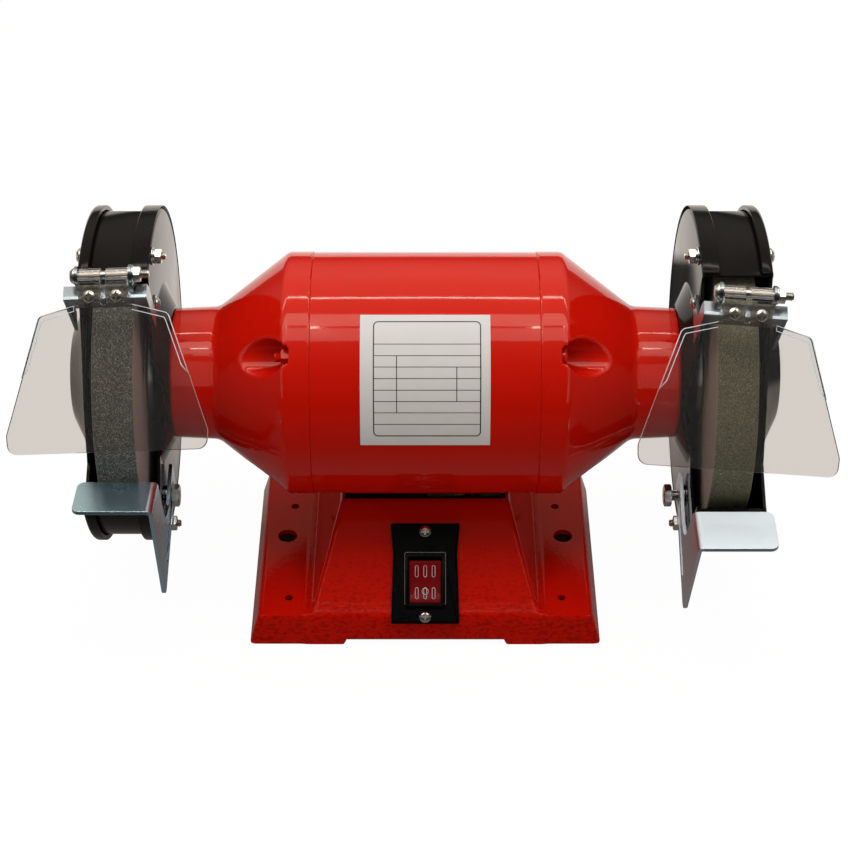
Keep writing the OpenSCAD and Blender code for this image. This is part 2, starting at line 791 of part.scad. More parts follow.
// Inner guard of the right side: dished plate with a rim, and the band welded to it.
module inner_guard() {
    difference() {
        union() {
            difference() {
                lathe_x([
                    [neck_end_x, journal_d / 2 + 2], [neck_end_x, boss_r0],
                    [guard_x, boss_r1], [guard_x, guard_r - 1.5], [guard_x + 1.5, guard_r],
                    [guard_x + inner_rim_w, guard_r], [guard_x + inner_rim_w, band_r - 0.5],
                    [guard_in_x, band_r - 0.5], [guard_in_x, boss_r1 - 0.5],
                    [neck_end_x + guard_t, boss_r0 - 0.5],
                    [neck_end_x + guard_t, journal_d / 2 + 2],
                ]);
                sheet_x(-far, far) mouth(inner_mouth);
            }
            band_ring(band_r - guard_t, band_r, guard_x + 0.5, cover_in_x - 0.5);
            on_clamp() bar_x(5.5, guard_x + 0.5, guard_in_x + 3);
            on_circle(bracket_foot_r, bracket_foot_angle) bar_x(3.8, guard_x + 0.5, guard_in_x + 1);
        }
        for (a = guard_screw_angles) on_circle(guard_screw_r, a)
            bar_x(guard_screw_d / 2 + loose_fit, 0, far / 3);
        for (a = cover_screw_angles) on_circle(cover_screw_r, a)
            bar_x(cover_screw_d / 2 + 0.1, 0, far / 2);
        on_clamp() bar_x(clamp_d / 2 + run_fit, 0, far / 2);
        on_circle(bracket_foot_r, bracket_foot_angle) bar_x(bracket_screw_d / 2, 0, far / 2);
    }
}

// Moves children to the axis of the tool rest's clamp bolt.
module on_clamp() {
    translate([0, -clamp_y, -clamp_z]) children();
}

module left_inner_guard() color("#202122") at_spindle() side(-1) inner_guard();
module right_inner_guard() color("#202122") at_spindle() side(1) inner_guard();

// Side cover of the right side: a pressed dome over the spindle nut, with a turned rim.
module side_cover() {
    rim_in = band_r + cover_gap;
    difference() {
        lathe_x([
            [cover_x + dome_h, 0], [cover_x + dome_h, dome_r - 4], [cover_x + dome_h - 1.5, dome_r + 1],
            [cover_x + dome_h * 0.45, dome_r + 8], [cover_x + 1, dome_base_r - 6],
            [cover_x, dome_base_r], [cover_x, guard_r - 2], [cover_x - 2, guard_r],
            [cover_x - cover_rim_w, guard_r], [cover_x - cover_rim_w, rim_in],
            [cover_in_x, rim_in], [cover_in_x, dome_base_r - 0.5],
            [cover_in_x + 1, dome_base_r - 7], [cover_in_x + dome_h * 0.45, dome_r + 6.6],
            [cover_in_x + dome_h - 1.5, dome_r - 0.4], [cover_in_x + dome_h, dome_r - 5],
            [cover_in_x + dome_h, 0],
        ]);
        sheet_x(-far, far) difference() {
            mouth(cover_mouth);
            circle(dome_base_r - 2);
        }
        for (a = cover_screw_angles) on_circle(cover_screw_r, a)
            bar_x(cover_screw_d / 2 + 0.1, 0, far / 2);
    }
}

module left_side_cover() color("#1c1d1e") at_spindle() side(-1) side_cover();
module right_side_cover() color("#1c1d1e") at_spindle() side(1) side_cover();

module guard_screws() color("silver") at_spindle() {
    for (s = [-1, 1]) side(s) for (a = guard_screw_angles) on_circle(guard_screw_r, a) {
        bar_x(guard_screw_d / 2 - 0.05, neck_end_x - 8, neck_end_x + guard_t);
        bar_x(4.4, neck_end_x + guard_t, neck_end_x + guard_t + 2);
    }
}

cover_head_r = 3.9;
module cover_screws() color("silver") at_spindle() {
    for (s = [-1, 1]) side(s) for (a = cover_screw_angles) on_circle(cover_screw_r, a) {
        bar_x(cover_screw_d / 2, guard_x - 7, cover_x);
        translate([cover_x, 0, 0]) rotate([0, 90, 0]) cylinder(r1 = cover_head_r, r2 = 2.4, h = 2.6);
    }
}

module cover_nuts() color("silver") at_spindle() {
    for (s = [-1, 1]) side(s) for (a = cover_screw_angles) on_circle(cover_screw_r, a)
        difference() {
            union() {
                bar_x(4.4, guard_x - 0.8, guard_x);
                bar_x(3.7, guard_x - 1.7, guard_x - 0.8);
                hex_x(7, guard_x - 4.9, guard_x - 1.7);
            }
            bar_x(cover_screw_d / 2 + eps, 0, far / 2);
        }
}

// ---- eye shields and spark brackets ----

// Direction across the shields, in degrees above the horizontal.
lean_tilt = 39;
wing_face_x = unit_x - bracket_w / 2;
foot_face_x = wing_face_x + bracket_t;

// Frame of a shield unit: the origin is the middle of its rod and X runs along the rod.
// The whole unit leans a little sideways, as its sheet is bent and fitted by hand.
module at_bracket(s) {
    angle = s > 0 ? right_rod_angle : left_rod_angle;
    roll = s > 0 ? right_roll : left_roll;
    at_spindle() translate([s * unit_x, -rod_r * cos(angle), rod_r * sin(angle)])
        rotate([-lean_tilt, 0, 0]) rotate([0, roll, 0]) rotate([lean_tilt, 0, 0]) children();
}

// Corners of a bracket in [forward, up], from the rod's middle.
brk_top_back = [1, -6.4];
brk_corner = [-5.7, -9.2];
brk_lip = [1.1, -19.3];
brk_tip = [13.2, -40.7];

// One wing of a spark bracket: a pointed ear beside the guard.
module wing_outline() {
    polygon([brk_top_back, brk_corner, brk_tip, brk_tip + [4, 8], brk_top_back + [6, -6]]);
}

// Spark bracket with two wings, a front lip, a top shelf and two ears for the rod.
// s is +1 where the motor side lies towards -X.
module spark_bracket(s, rod_angle, roll) {
    half = bracket_w / 2;
    foot = foot_place(s, rod_angle, roll);
    difference() {
        union() {
            for (x = [-half, half - bracket_t]) sheet_x(x, x + bracket_t) wing_outline();
            sheet_x(-half, half) thick_line(brk_top_back, brk_corner, bracket_t);
            sheet_x(-half, half) thick_line(brk_corner, brk_lip, bracket_t);
            for (x = [-tab_x - bracket_t, tab_x]) sheet_x(x, x + bracket_t) ear_outline();
            sheet_x(s > 0 ? -half : half - bracket_t, s > 0 ? -half + bracket_t : half)
                foot_outline(foot);
        }
        bar_x(rod_d / 2 + run_fit, -far, far);
        translate([0, foot[0], foot[1]]) bar_x(bracket_screw_d / 2 + 0.2, -far, far);
    }
}

function turn_x(v, a) = [v[0], v[1] * cos(a) - v[2] * sin(a), v[1] * sin(a) + v[2] * cos(a)];
function turn_y(v, a) = [v[0] * cos(a) + v[2] * sin(a), v[1], v[2] * cos(a) - v[0] * sin(a)];

// Place of the fixing screw in the bracket's own leaning frame, as [y, z].
function foot_place(s, rod_angle, roll) =
    let (
        flat = front_point(bracket_foot_r, bracket_foot_angle) - front_point(rod_r, rod_angle),
        reach = [s * (wing_face_x + bracket_t / 2 - unit_x), flat[0], flat[1]],
        local = turn_x(turn_y(turn_x(reach, lean_tilt), -roll), -lean_tilt)
    )
    [local[1], local[2]];

// A strip of thickness t behind the line from a to b.
module thick_line(a, b, t) {
    d = (b - a) / norm(b - a);
    n = [d[1], -d[0]] * -t;
    polygon([a, b, b + n, a + n]);
}

module ear_outline() {
    circle(r = rod_d / 2 + 2.6);
    polygon([[-3, 0], [4.4, 0], brk_top_back + [1.5, -0.5], brk_corner + [2.5, 0.5]]);
}

module foot_outline(foot) {
    polygon([brk_tip, brk_tip + [-8, 13], foot + [0, 4.2], foot + [0, -4.2]]);
    translate(foot) circle(r = 4.2);
}

module left_spark_bracket() color("#b9bec4") at_bracket(-1)
    spark_bracket(-1, left_rod_angle, left_roll);
module right_spark_bracket() color("#b9bec4") at_bracket(1)
    spark_bracket(1, right_rod_angle, right_roll);

module spark_bracket_screws() color("silver") at_spindle() {
    for (s = [-1, 1]) side(s) on_circle(bracket_foot_r, bracket_foot_angle) {
        bar_x(bracket_screw_d / 2 - 0.05, wing_face_x - 0.5, guard_in_x + 0.8);
        bar_x(2.8, wing_face_x - 2.3, wing_face_x - 0.5);
    }
}

rod_head_x = tab_x + bracket_t;
// A screw used as the hinge of a shield; its head is on the -X side on both units.
module shield_rod() {
    bar_x(rod_d / 2, -rod_head_x, rod_head_x + 8);
    translate([-rod_head_x - 2.4, 0, 0]) rotate([0, 90, 0]) cylinder(r1 = 2.4, r2 = 3.9, h = 2.4);
    bar_x(4.2, rod_head_x, rod_head_x + 0.8);
    hex_x(7, rod_head_x + 0.8, rod_head_x + 4);
}

module left_shield_rod() color("#c2c6ca") at_bracket(-1) shield_rod();
module right_shield_rod() color("#c2c6ca") at_bracket(1) shield_rod();

// Turns children from the rod's frame into the shield's: -Z runs down the shield and
// -Y is its outer side.
module hang(s) {
    angle = s > 0 ? right_shield_angle : left_shield_angle;
    at_bracket(s) rotate([angle - 90, 0, 0]) children();
}

// The clear shield: a trapezoid with two tongues that reach up between its clips.
module shield() {
    r = 7;
    half = shield_w / 2;
    top_half = shield_top_w / 2;
    difference() {
        translate([0, -shield_off + shield_t / 2, 0]) rotate([90, 0, 0]) linear_extrude(shield_t) {
            difference() {
                polygon(concat(
                    [[-clip_pitch, -shield_top], [-top_half, -corner_h], [-half, -shield_h + r + 2]],
                    [for (i = [1:5]) [-half + 5 - 5 * cos(i * 18), -shield_h + r - r * sin(i * 18)]],
                    [for (i = [5:-1:1]) [half - 5 + 5 * cos(i * 18), -shield_h + r - r * sin(i * 18)]],
                    [[half, -shield_h + r + 2], [top_half, -corner_h], [clip_pitch, -shield_top]]
                ));
            }
            for (x = [-1, 1]) translate([x * clip_pitch / 2 - clip_w / 2, -shield_top - 1])
                square([clip_w, shield_top + 1 - tongue_top]);
        }
        for (x = [-1, 1]) translate([x * clip_pitch / 2, 0, -clip_screw_h]) rotate([90, 0, 0])
            cylinder(d = 3.3, h = 20, center = true);
    }
}

module left_shield() color("#e8e2da", 0.4) hang(-1) shield();
module right_shield() color("#e8e2da", 0.4) hang(1) shield();

flap_t = 0.8;
// Two clips that turn on the rod; each has flaps on both faces of the shield.
module shield_clips() {
    front_y = -shield_off - shield_t / 2;
    back_y = -shield_off + shield_t / 2;
    for (x = [-1, 1]) translate([x * clip_pitch / 2, 0, 0]) difference() {
        union() {
            bar_x(clip_d / 2, -clip_w / 2, clip_w / 2);
            translate([-clip_w / 2, front_y - flap_t, -clip_flap_l])
                cube([clip_w, flap_t, clip_flap_l - 3.6]);
            translate([-clip_w / 2, back_y, -clip_flap_l]) cube([clip_w, flap_t, clip_flap_l - 1]);
            sheet_x(-clip_w / 2, clip_w / 2) polygon([
                [front_y - flap_t, -4], [front_y - flap_t, -3], [-2, 2.4], [0, 3], [0, -3],
                [back_y, -3], [back_y, -tongue_top + 0.4], [front_y, -tongue_top + 0.4], [front_y, -4],
            ]);
        }
        bar_x(rod_d / 2 + run_fit, -far, far);
        translate([0, 0, -clip_screw_h]) rotate([90, 0, 0]) cylinder(d = 3.3, h = 20, center = true);
    }
}

module left_shield_clips() color("#b9bec4") hang(-1) shield_clips();
module right_shield_clips() color("#b9bec4") hang(1) shield_clips();

// Screws that clamp the shield between its clips' flaps; the back flap is tapped.
module clip_screws() {
    front_y = -shield_off - shield_t / 2 - flap_t;
    back_y = -shield_off + shield_t / 2 + flap_t;
    for (x = [-1, 1]) translate([x * clip_pitch / 2, 0, -clip_screw_h]) rotate([90, 0, 0]) {
        translate([0, 0, -back_y]) cylinder(d = 3, h = back_y - front_y);
        translate([0, 0, -front_y]) cylinder(r1 = 2.9, r2 = 2, h = 1.7);
    }
}

module left_clip_screws() color("#c2c6ca") hang(-1) clip_screws();
module right_clip_screws() color("#c2c6ca") hang(1) clip_screws();

// ---- tool rests ----

// Frame of a tool rest's arm: the origin is the clamp bolt, +Y points back along the
// slot and the arm slopes down to the front.
module at_rest(s) {
    angle = s > 0 ? right_rest_angle : left_rest_angle;
    at_spindle() side(s) on_clamp() rotate([angle, 0, 0]) children();
}

// Tool rest: a slotted arm beside the guard, bent into a ledge in front of the wheel.
// pushed_in is how far it stands in from its outer stop.
module tool_rest(pushed_in) {
    ledge_dir = [cos(ledge_tilt), sin(ledge_tilt)];
    back = [ledge_u, ledge_v];
    front = back + rest_d * ledge_dir;
    translate([0, pushed_in, 0]) {
        difference() {
            sheet_x(rest_x, rest_x + rest_t) mirror([1, 0]) union() {
                polygon([
                    [-arm_tail, -arm_half], [arm_tip - 4, -arm_half], [arm_tip - 1, -arm_half + 1.5],
                    [arm_tip, -arm_half + 5], front, back, [ledge_u - 2, 22], [ledge_u - 6, 13],
                    [ledge_u - 15, arm_half], [-arm_tail, arm_half],
                ]);
            }
            for (u = [0, slot_l]) translate([0, -u, 0]) bar_x(slot_w / 2, rest_x - 1, rest_x + 4);
            translate([rest_x - 1, -slot_l, -slot_w / 2]) cube([5, slot_l, slot_w]);
        }
        translate([rest_x, -ledge_u, ledge_v]) rotate([-ledge_tilt, 0, 0])
            translate([rest_w / 2, -rest_d / 2, -rest_t]) linear_extrude(rest_t)
                ledge_outline();
    }
}

// The ledge with its two outer corners rounded.
module ledge_outline() {
    round_rect(rest_w, rest_d, 4);
    translate([-rest_w / 4, 0]) square([rest_w / 2, rest_d], center = true);
}

module left_tool_rest() color("#aeb6bc") at_rest(-1) tool_rest(left_rest_in);
module right_tool_rest() color("#c9d2d8") at_rest(1) tool_rest(0);

// Clamp bolt, backed out by the given amount, and the washer that holds the rest off the guard.
module rest_bolt(out) {
    translate([-out, 0, 0]) {
        bar_x(clamp_d / 2, rest_x, rest_x + clamp_shank);
        hex_x(clamp_af, rest_x - clamp_head_h, rest_x);
    }
    difference() {
        bar_x(clamp_af / 2 + 0.6, guard_x - rest_gap + washer_fit, guard_x - washer_fit);
        bar_x(clamp_d / 2 + run_fit, -far, far);
    }
}

module left_rest_bolt() color("#b9bec4") at_rest(-1) rest_bolt(0);
module right_rest_bolt() color("#b9bec4") at_rest(1) rest_bolt(right_bolt_out);

// ---- spindle, rotor and wheels ----

module spindle() color("#b8bcc0") at_spindle() lathe_x([
    [-spindle_end, 0], [-spindle_end, arbor_d / 2 - 1], [-spindle_end + 1, arbor_d / 2],
    [-shoulder_x, arbor_d / 2], [-shoulder_x, journal_d / 2],
    [-bearing_x, journal_d / 2], [-bearing_x, rotor_shaft_d / 2],
    [bearing_x, rotor_shaft_d / 2], [bearing_x, journal_d / 2],
    [shoulder_x, journal_d / 2], [shoulder_x, arbor_d / 2],
    [spindle_end - 1, arbor_d / 2], [spindle_end, arbor_d / 2 - 1], [spindle_end, 0],
]);

module rotor_core() color("#8b8f93") at_spindle() difference() {
    union() {
        bar_x(rotor_r, -stator_half, stator_half);
        bar_x(rotor_r - 1.5, -stator_half - 6, stator_half + 6);
    }
    for (s = [-1, 1]) side(s) difference() {
        bar_x(rotor_r - 11, stator_half, far);
        bar_x(rotor_shaft_d / 2 + 2, 0, far);
    }
    bar_x(rotor_shaft_d / 2, -far, far);
}

// A straight wheel with a flat recess-free side and a small edge chamfer.
module wheel(s) {
    at_spindle() side(s) lathe_x([
        [wheel_in_x, arbor_d / 2 + run_fit], [wheel_in_x, wheel_r - 0.8], [wheel_in_x + 0.8, wheel_r],
        [wheel_out_x - 0.8, wheel_r], [wheel_out_x, wheel_r - 0.8], [wheel_out_x, arbor_d / 2 + run_fit],
    ]);
}

module left_wheel() color("#6b6d68") wheel(-1);
module right_wheel() color("#7c7d6f") wheel(1);

module wheel_blotters() color("#e6e2d6") at_spindle() {
    for (s = [-1, 1]) side(s) for (x = [flange_in_x, wheel_out_x]) difference() {
        bar_x(blotter_d / 2, x, x + blotter_t);
        bar_x(arbor_d / 2 + run_fit, 0, far);
    }
}

// A clamping flange that bears on the blotter only near its edge.
module flange(x, t, hub_side) {
    relief = 0.8;
    difference() {
        bar_x(flange_d / 2, x, x + t);
        bar_x(arbor_d / 2 + eps, 0, far);
        bar_x(flange_d / 2 - 8, hub_side > 0 ? x - 1 : x + t - relief, hub_side > 0 ? x + relief : x + t + 1);
    }
}

module inner_flanges() color("#3b3d40") at_spindle() {
    for (s = [-1, 1]) side(s) flange(shoulder_x, inner_flange_t, -1);
}

module outer_flanges() color("#3b3d40") at_spindle() {
    for (s = [-1, 1]) side(s) flange(flange_out_x, outer_flange_t, 1);
}

module spindle_nut(s) {
    at_spindle() side(s) difference() {
        hex_x(spindle_nut_af, nut_x, nut_x + spindle_nut_t);
        bar_x(arbor_d / 2 + eps, 0, far);
    }
}

module left_spindle_nut() color("silver") spindle_nut(-1);
module right_spindle_nut() color("silver") spindle_nut(1);

base_shell();
bottom_plate();
bottom_plate_screws();
saddle_screws();
motor_tube();
left_end_bell();
right_end_bell();
tie_bolts();
tie_nuts();
stator_core();
stator_windings();
left_bearing();
right_bearing();
rating_plate();
switch_plate();
switch_screws();
switch_body();
switch_rocker();
switch_leads();
capacitor();
capacitor_clip();
terminal_block();
motor_leads();
cable_gland();
left_inner_guard();
right_inner_guard();
left_side_cover();
right_side_cover();
guard_screws();
cover_screws();
cover_nuts();
left_spark_bracket();
right_spark_bracket();
spark_bracket_screws();
left_shield_rod();
right_shield_rod();
left_shield();
right_shield();
left_shield_clips();
right_shield_clips();
left_clip_screws();
right_clip_screws();
left_tool_rest();
right_tool_rest();
left_rest_bolt();
right_rest_bolt();
spindle();
rotor_core();
left_wheel();
right_wheel();
wheel_blotters();
inner_flanges();
outer_flanges();
left_spindle_nut();
right_spindle_nut();
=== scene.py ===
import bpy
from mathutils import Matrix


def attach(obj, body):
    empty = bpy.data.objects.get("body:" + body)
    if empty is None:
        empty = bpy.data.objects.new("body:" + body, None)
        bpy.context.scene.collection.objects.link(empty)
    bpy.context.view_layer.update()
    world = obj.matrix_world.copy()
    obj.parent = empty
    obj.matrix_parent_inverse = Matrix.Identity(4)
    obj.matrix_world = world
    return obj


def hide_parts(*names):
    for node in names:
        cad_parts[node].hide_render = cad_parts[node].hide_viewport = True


bl_info = {
    "name": "Bench Grinder",
    "version": (1, 0, 0),
    "blender": (4, 5, 0),
    "location": "3D View > Sidebar > Grinder",
    "description": "Dresses a twin-wheel bench grinder around its CAD frame",
    "category": "Add Mesh",
}

from math import acos, atan2, cos, degrees, hypot, pi, radians, sin, sqrt, tan

import bmesh
import bpy
import numpy as np
from bpy.props import FloatProperty, FloatVectorProperty, PointerProperty
from mathutils import Euler, Matrix, Vector

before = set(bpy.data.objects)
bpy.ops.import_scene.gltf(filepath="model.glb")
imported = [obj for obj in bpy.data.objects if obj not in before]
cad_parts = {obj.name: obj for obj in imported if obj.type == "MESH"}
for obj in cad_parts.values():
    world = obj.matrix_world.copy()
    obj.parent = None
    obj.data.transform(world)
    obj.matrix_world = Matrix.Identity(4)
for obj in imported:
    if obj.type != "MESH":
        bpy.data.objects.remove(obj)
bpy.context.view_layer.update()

# All shapes are drawn in millimetres and shrunk to metres when they become pieces.
MM = 0.001

# ---- sizes and colours a user would change ----


def linear(hex_colour):
    """Turns an sRGB hex value into linear red, green, blue and alpha."""
    channels = [int(hex_colour[i:i + 2], 16) / 255 for i in (1, 3, 5)]
    return tuple(c / 12.92 if c <= 0.04045 else ((c + 0.055) / 1.055) ** 2.4 for c in channels) + (1.0,)


def length(name, text, default, low, high):
    return FloatProperty(name=name, description=text + ", in millimetres", default=default,
                         min=low, max=high, unit="NONE", subtype="NONE")


def colour(name, text, hex_colour):
    return FloatVectorProperty(name=name, description=text, default=linear(hex_colour)[:3],
                               size=3, min=0, max=1, subtype="COLOR")


def power(name, text, default, high):
    return FloatProperty(name=name, description=text, default=default, min=0, max=high,
                         subtype="POWER", unit="POWER")


class GrinderSizes(bpy.types.PropertyGroup):
    """Small sizes that the CAD frame leaves to the dressing."""
    cast_round: length("Casting rounds", "Radius on the outer edges of the base casting", 1.6, 0.5, 3)
    cast_fillet: length("Casting fillets", "Fillet where the foot meets the flange", 4.5, 1, 8)
    pocket_round: length("Pocket rounds", "Radius at the mouth of the tie-bolt pockets", 1.1, 0.4, 2)
    rest_bend: length("Rest bend", "Inner radius of the bend in a tool rest", 1.6, 0.5, 3)
    lip_width: length("Shield lip width", "Width of the raised lip round a shield's top", 2.4, 1, 4)
    lip_height: length("Shield lip height", "Height of the raised lip on a shield", 1.3, 0.5, 2)
    rule_width: length("Ruling width", "Width of the printed lines on the rating plate", 0.42, 0.2, 1)
    thread_pitch: length("Thread pitch", "Pitch of the threads on bolts and studs", 0.8, 0.5, 1.5)
    grit_coarse: length("Coarse grit", "Grain spacing on the left wheel", 0.36, 0.2, 2)
    grit_fine: length("Fine grit", "Grain spacing on the right wheel", 0.3, 0.15, 2)


class GrinderColours(bpy.types.PropertyGroup):
    """Colours of the visible finishes."""
    enamel: colour("Enamel", "Gloss enamel on the motor and base", "#C81204")
    guard_paint: colour("Guard paint", "Paint on the wheel guards", "#0D0C0B")
    zinc: colour("Zinc plate", "Bright zinc, dulled on the spark brackets", "#E8F4FB")
    steel: colour("Fasteners", "Bright plated screws and nuts", "#D4D2CC")
    foil: colour("Rating plate", "Printed silver foil of the rating plate", "#D6D0CA")
    moulding: colour("Switch moulding", "Black plastic of the switch", "#070708")
    rocker: colour("Rocker", "Deep red plastic of the rocker", "#7A0E13")
    shield: colour("Shield", "Clear plastic of the eye shields", "#D6D0C9")
    coarse: colour("Coarse wheel", "Body of the coarse wheel", "#565651")
    fine: colour("Fine wheel", "Body of the fine wheel", "#6A6851")


class GrinderStage(bpy.types.PropertyGroup):
    """Floor and light."""
    floor: colour("Floor", "Colour of the floor in the light that it gives back", "#BFBEBB")
    key: power("Front softbox", "Power of the softbox over the front", 0.7, 60)
    back: power("Rear softbox", "Power of the softbox over the back", 0.9, 60)
    tube: power("Strip light", "Power of the thin strip behind the softboxes", 0.8, 10)
    side: power("Side panels", "Power of each small panel over a neck", 0.4, 10)
    room: FloatProperty(
        name="Room light", description="Share of the room's brightness that lights matt faces",
        default=1.0, min=0, max=2, subtype="FACTOR", unit="NONE")


def sizes():
    return bpy.context.scene.grinder_sizes


def colours():
    return bpy.context.scene.grinder_colours


# ---- places in the frame, as the CAD source has them ----

AXIS_Y, AXIS_Z = 16, 115          # spindle axis behind the middle of the base, above the bench
BORE_R, TUBE_R, BELL_R = 58.7, 61.2, 61.5
WHEEL_X, WHEEL_R, WHEEL_W = 148.8, 75, 20
GUARD_X, COVER_X, GUARD_R = 132.5, 166.5, 85
TIE_R, TIE_ANGLES = 53, (45, 135, 225, 315)
PLATFORM_Y, PLATFORM_Z, PANEL_ANGLE = -11, 52.9, 36.79
# Down the front panel: the rocker's pivot, the middle of the switch plate and its screws.
ROCKER, SWITCH_PLATE, SWITCH_SCREWS = 43, 38.7, (17.2, 61.2)
PLATE_SCREW_X, PLATE_SCREW_Y = 61.5, (-50, 50)
SADDLE_SCREW_X, SADDLE_SCREW_Y = 30, (3, 29)
# Radius from the spindle and angles above the front horizontal.
COVER_SCREWS, BRACKET_SCREW = (78.4, (83, 194, -62)), (64.6, 68.2)
SLOT_R = 3.05
# The lamps hang in metres above the floor; the camera looks down at the front through a long lens.
LAMP_HEIGHT, WHITE = 0.665, (1, 1, 1, 1)
LENS, LENS_SHIFT = 93.4, (-0.0014, -0.0607)
CAMERA_PLACE, CAMERA_TILT = (0, -0.87847, 0.78903), 53


def move(x, y, z):
    return Matrix.Translation((x, y, z))


def turn(axis, angle):
    return Matrix.Rotation(radians(angle), 4, axis)


SPINDLE = move(0, AXIS_Y, AXIS_Z)
MIRROR = Matrix.Scale(-1, 4, (1, 0, 0))
HALF_TURN = turn("Z", 180)
# Turns a plate drawn in X and Y into one drawn in Y and Z that extrudes along X.
ALONG_X = Matrix(((0, 0, 1, 0), (1, 0, 0, 0), (0, 1, 0, 0), (0, 0, 0, 1)))
# -1 is the left side and 1 the right. The shields' rods lie at a radius and an angle each, rolled
# a little; the rests turn about their pivot and are pushed in along their slot.
SIDE = {-1: "left", 1: "right"}
ROD_R, UNIT_X = 104.6, 150.0
ROD_ANGLE = {-1: 62.7, 1: 57.5}
ROLL = {-1: -1.9, 1: 4.0}
REST_PIVOT = move(0, -34, -53)
REST_ANGLE = {-1: 17, 1: 26}
REST_IN = {-1: 5, 1: 0}


def mirrored(s):
    return SPINDLE @ (MIRROR if s < 0 else Matrix())


def on_circle(r, angle):
    """Place at radius r from the spindle, at an angle above the front horizontal."""
    return move(0, -r * cos(radians(angle)), r * sin(radians(angle)))


def front_point(r, angle):
    return (-r * cos(radians(angle)), r * sin(radians(angle)))


def on_panel(s):
    """Place s down the base's front panel, with Z facing out of it."""
    a = radians(PANEL_ANGLE)
    return move(0, PLATFORM_Y - s * cos(a), PLATFORM_Z - s * sin(a)) @ turn("X", PANEL_ANGLE)


def at_bracket(s):
    """Place of a shield unit: the middle of its rod, with X along the rod."""
    y, z = front_point(ROD_R, ROD_ANGLE[s])
    return SPINDLE @ move(s * UNIT_X, y, z) @ turn("X", -39) @ turn("Y", ROLL[s]) @ turn("X", 39)


def hang(s):
    return at_bracket(s) @ turn("X", 51 - 90)


def at_rest(s):
    return mirrored(s) @ REST_PIVOT @ turn("X", REST_ANGLE[s])


def at_gland():
    """Place of the cord inlet on the sloping back of the base, with Z facing out of it."""
    return move(-20, 49.5, 34.95) @ turn("X", -70.1)


# ---- mesh helpers ----

DOUBLES = 2e-3


def mesh_from(points, faces=(), edges=()):
    mesh = bpy.data.meshes.new("shape")
    mesh.from_pydata([tuple(p) for p in points], edges, faces)
    return mesh


def tidied(mesh):
    """Merges doubles and turns the faces of a closed shell outwards."""
    bm = bmesh.new()
    bm.from_mesh(mesh)
    bmesh.ops.remove_doubles(bm, verts=bm.verts, dist=DOUBLES)
    bmesh.ops.recalc_face_normals(bm, faces=bm.faces)
    bm.to_mesh(mesh)
    bm.free()
    return mesh


def placed(mesh, matrix):
    """Copy of a mesh put in place; a mirror keeps its faces outwards."""
    copy = mesh.copy()
    copy.transform(matrix)
    if matrix.determinant() < 0:
        copy.flip_normals()
    return copy


def joined(meshes):
    """One mesh of several shells."""
    bm = bmesh.new()
    for mesh in meshes:
        bm.from_mesh(mesh)
    result = bpy.data.meshes.new("shape")
    bm.to_mesh(result)
    bm.free()
    return result


def evaluated(obj):
    """Plain mesh of an object with its modifiers, which are then removed with it."""
    bpy.context.view_layer.update()
    result = bpy.data.meshes.new_from_object(obj.evaluated_get(bpy.context.evaluated_depsgraph_get()))
    bpy.data.objects.remove(obj)
    return result


def linked(name, data):
    """New object in the scene."""
    obj = bpy.data.objects.new(name, data)
    bpy.context.scene.collection.objects.link(obj)
    return obj


def combined(mesh, tool, operation="DIFFERENCE"):
    """Boolean of two closed meshes."""
    target, other = linked("draft", mesh), linked("tool", tool)
    modifier = target.modifiers.new("Combine", "BOOLEAN")
    modifier.operation, modifier.solver, modifier.object = operation, "MANIFOLD", other
    result = evaluated(target)
    bpy.data.objects.remove(other)
    return result


def eased(mesh, width, angle=40, segments=2):
    """Rounds every edge sharper than an angle."""
    obj = linked("draft", mesh)
    modifier = obj.modifiers.new("Ease", "BEVEL")
    modifier.width, modifier.segments = width, segments
    modifier.limit_method, modifier.angle_limit = "ANGLE", radians(angle)
    modifier.use_clamp_overlap = True
    modifier.miter_outer = "MITER_ARC"
    return evaluated(obj)


def cad_copy(node):
    """Copy of a CAD node in millimetres, with its flat faces made whole."""
    bm = bmesh.new()
    bm.from_mesh(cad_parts[node].data)
    bmesh.ops.scale(bm, vec=(1 / MM,) * 3, verts=bm.verts)
    bmesh.ops.remove_doubles(bm, verts=bm.verts, dist=DOUBLES)
    bmesh.ops.dissolve_limit(bm, angle_limit=radians(1), verts=bm.verts, edges=bm.edges)
    mesh = bpy.data.meshes.new("shape")
    bm.to_mesh(mesh)
    bm.free()
    return mesh


def circle(r, count, x=0, y=0):
    """Outline of a round hole."""
    turns = [2 * pi * i / count for i in range(count)]
    return [(x + r * cos(a), y + r * sin(a)) for a in turns]


def rect(x0, y0, x1, y1):
    return [(x0, y0), (x1, y0), (x1, y1), (x0, y1)]


def sleeve(x0, x1, inner, outer, *edge):
    """Profile of a sleeve from x0 to x1; a last number rounds its outer edges."""
    return [(x0, inner), (x0, outer, *edge), (x1, outer, *edge), (x1, inner)]


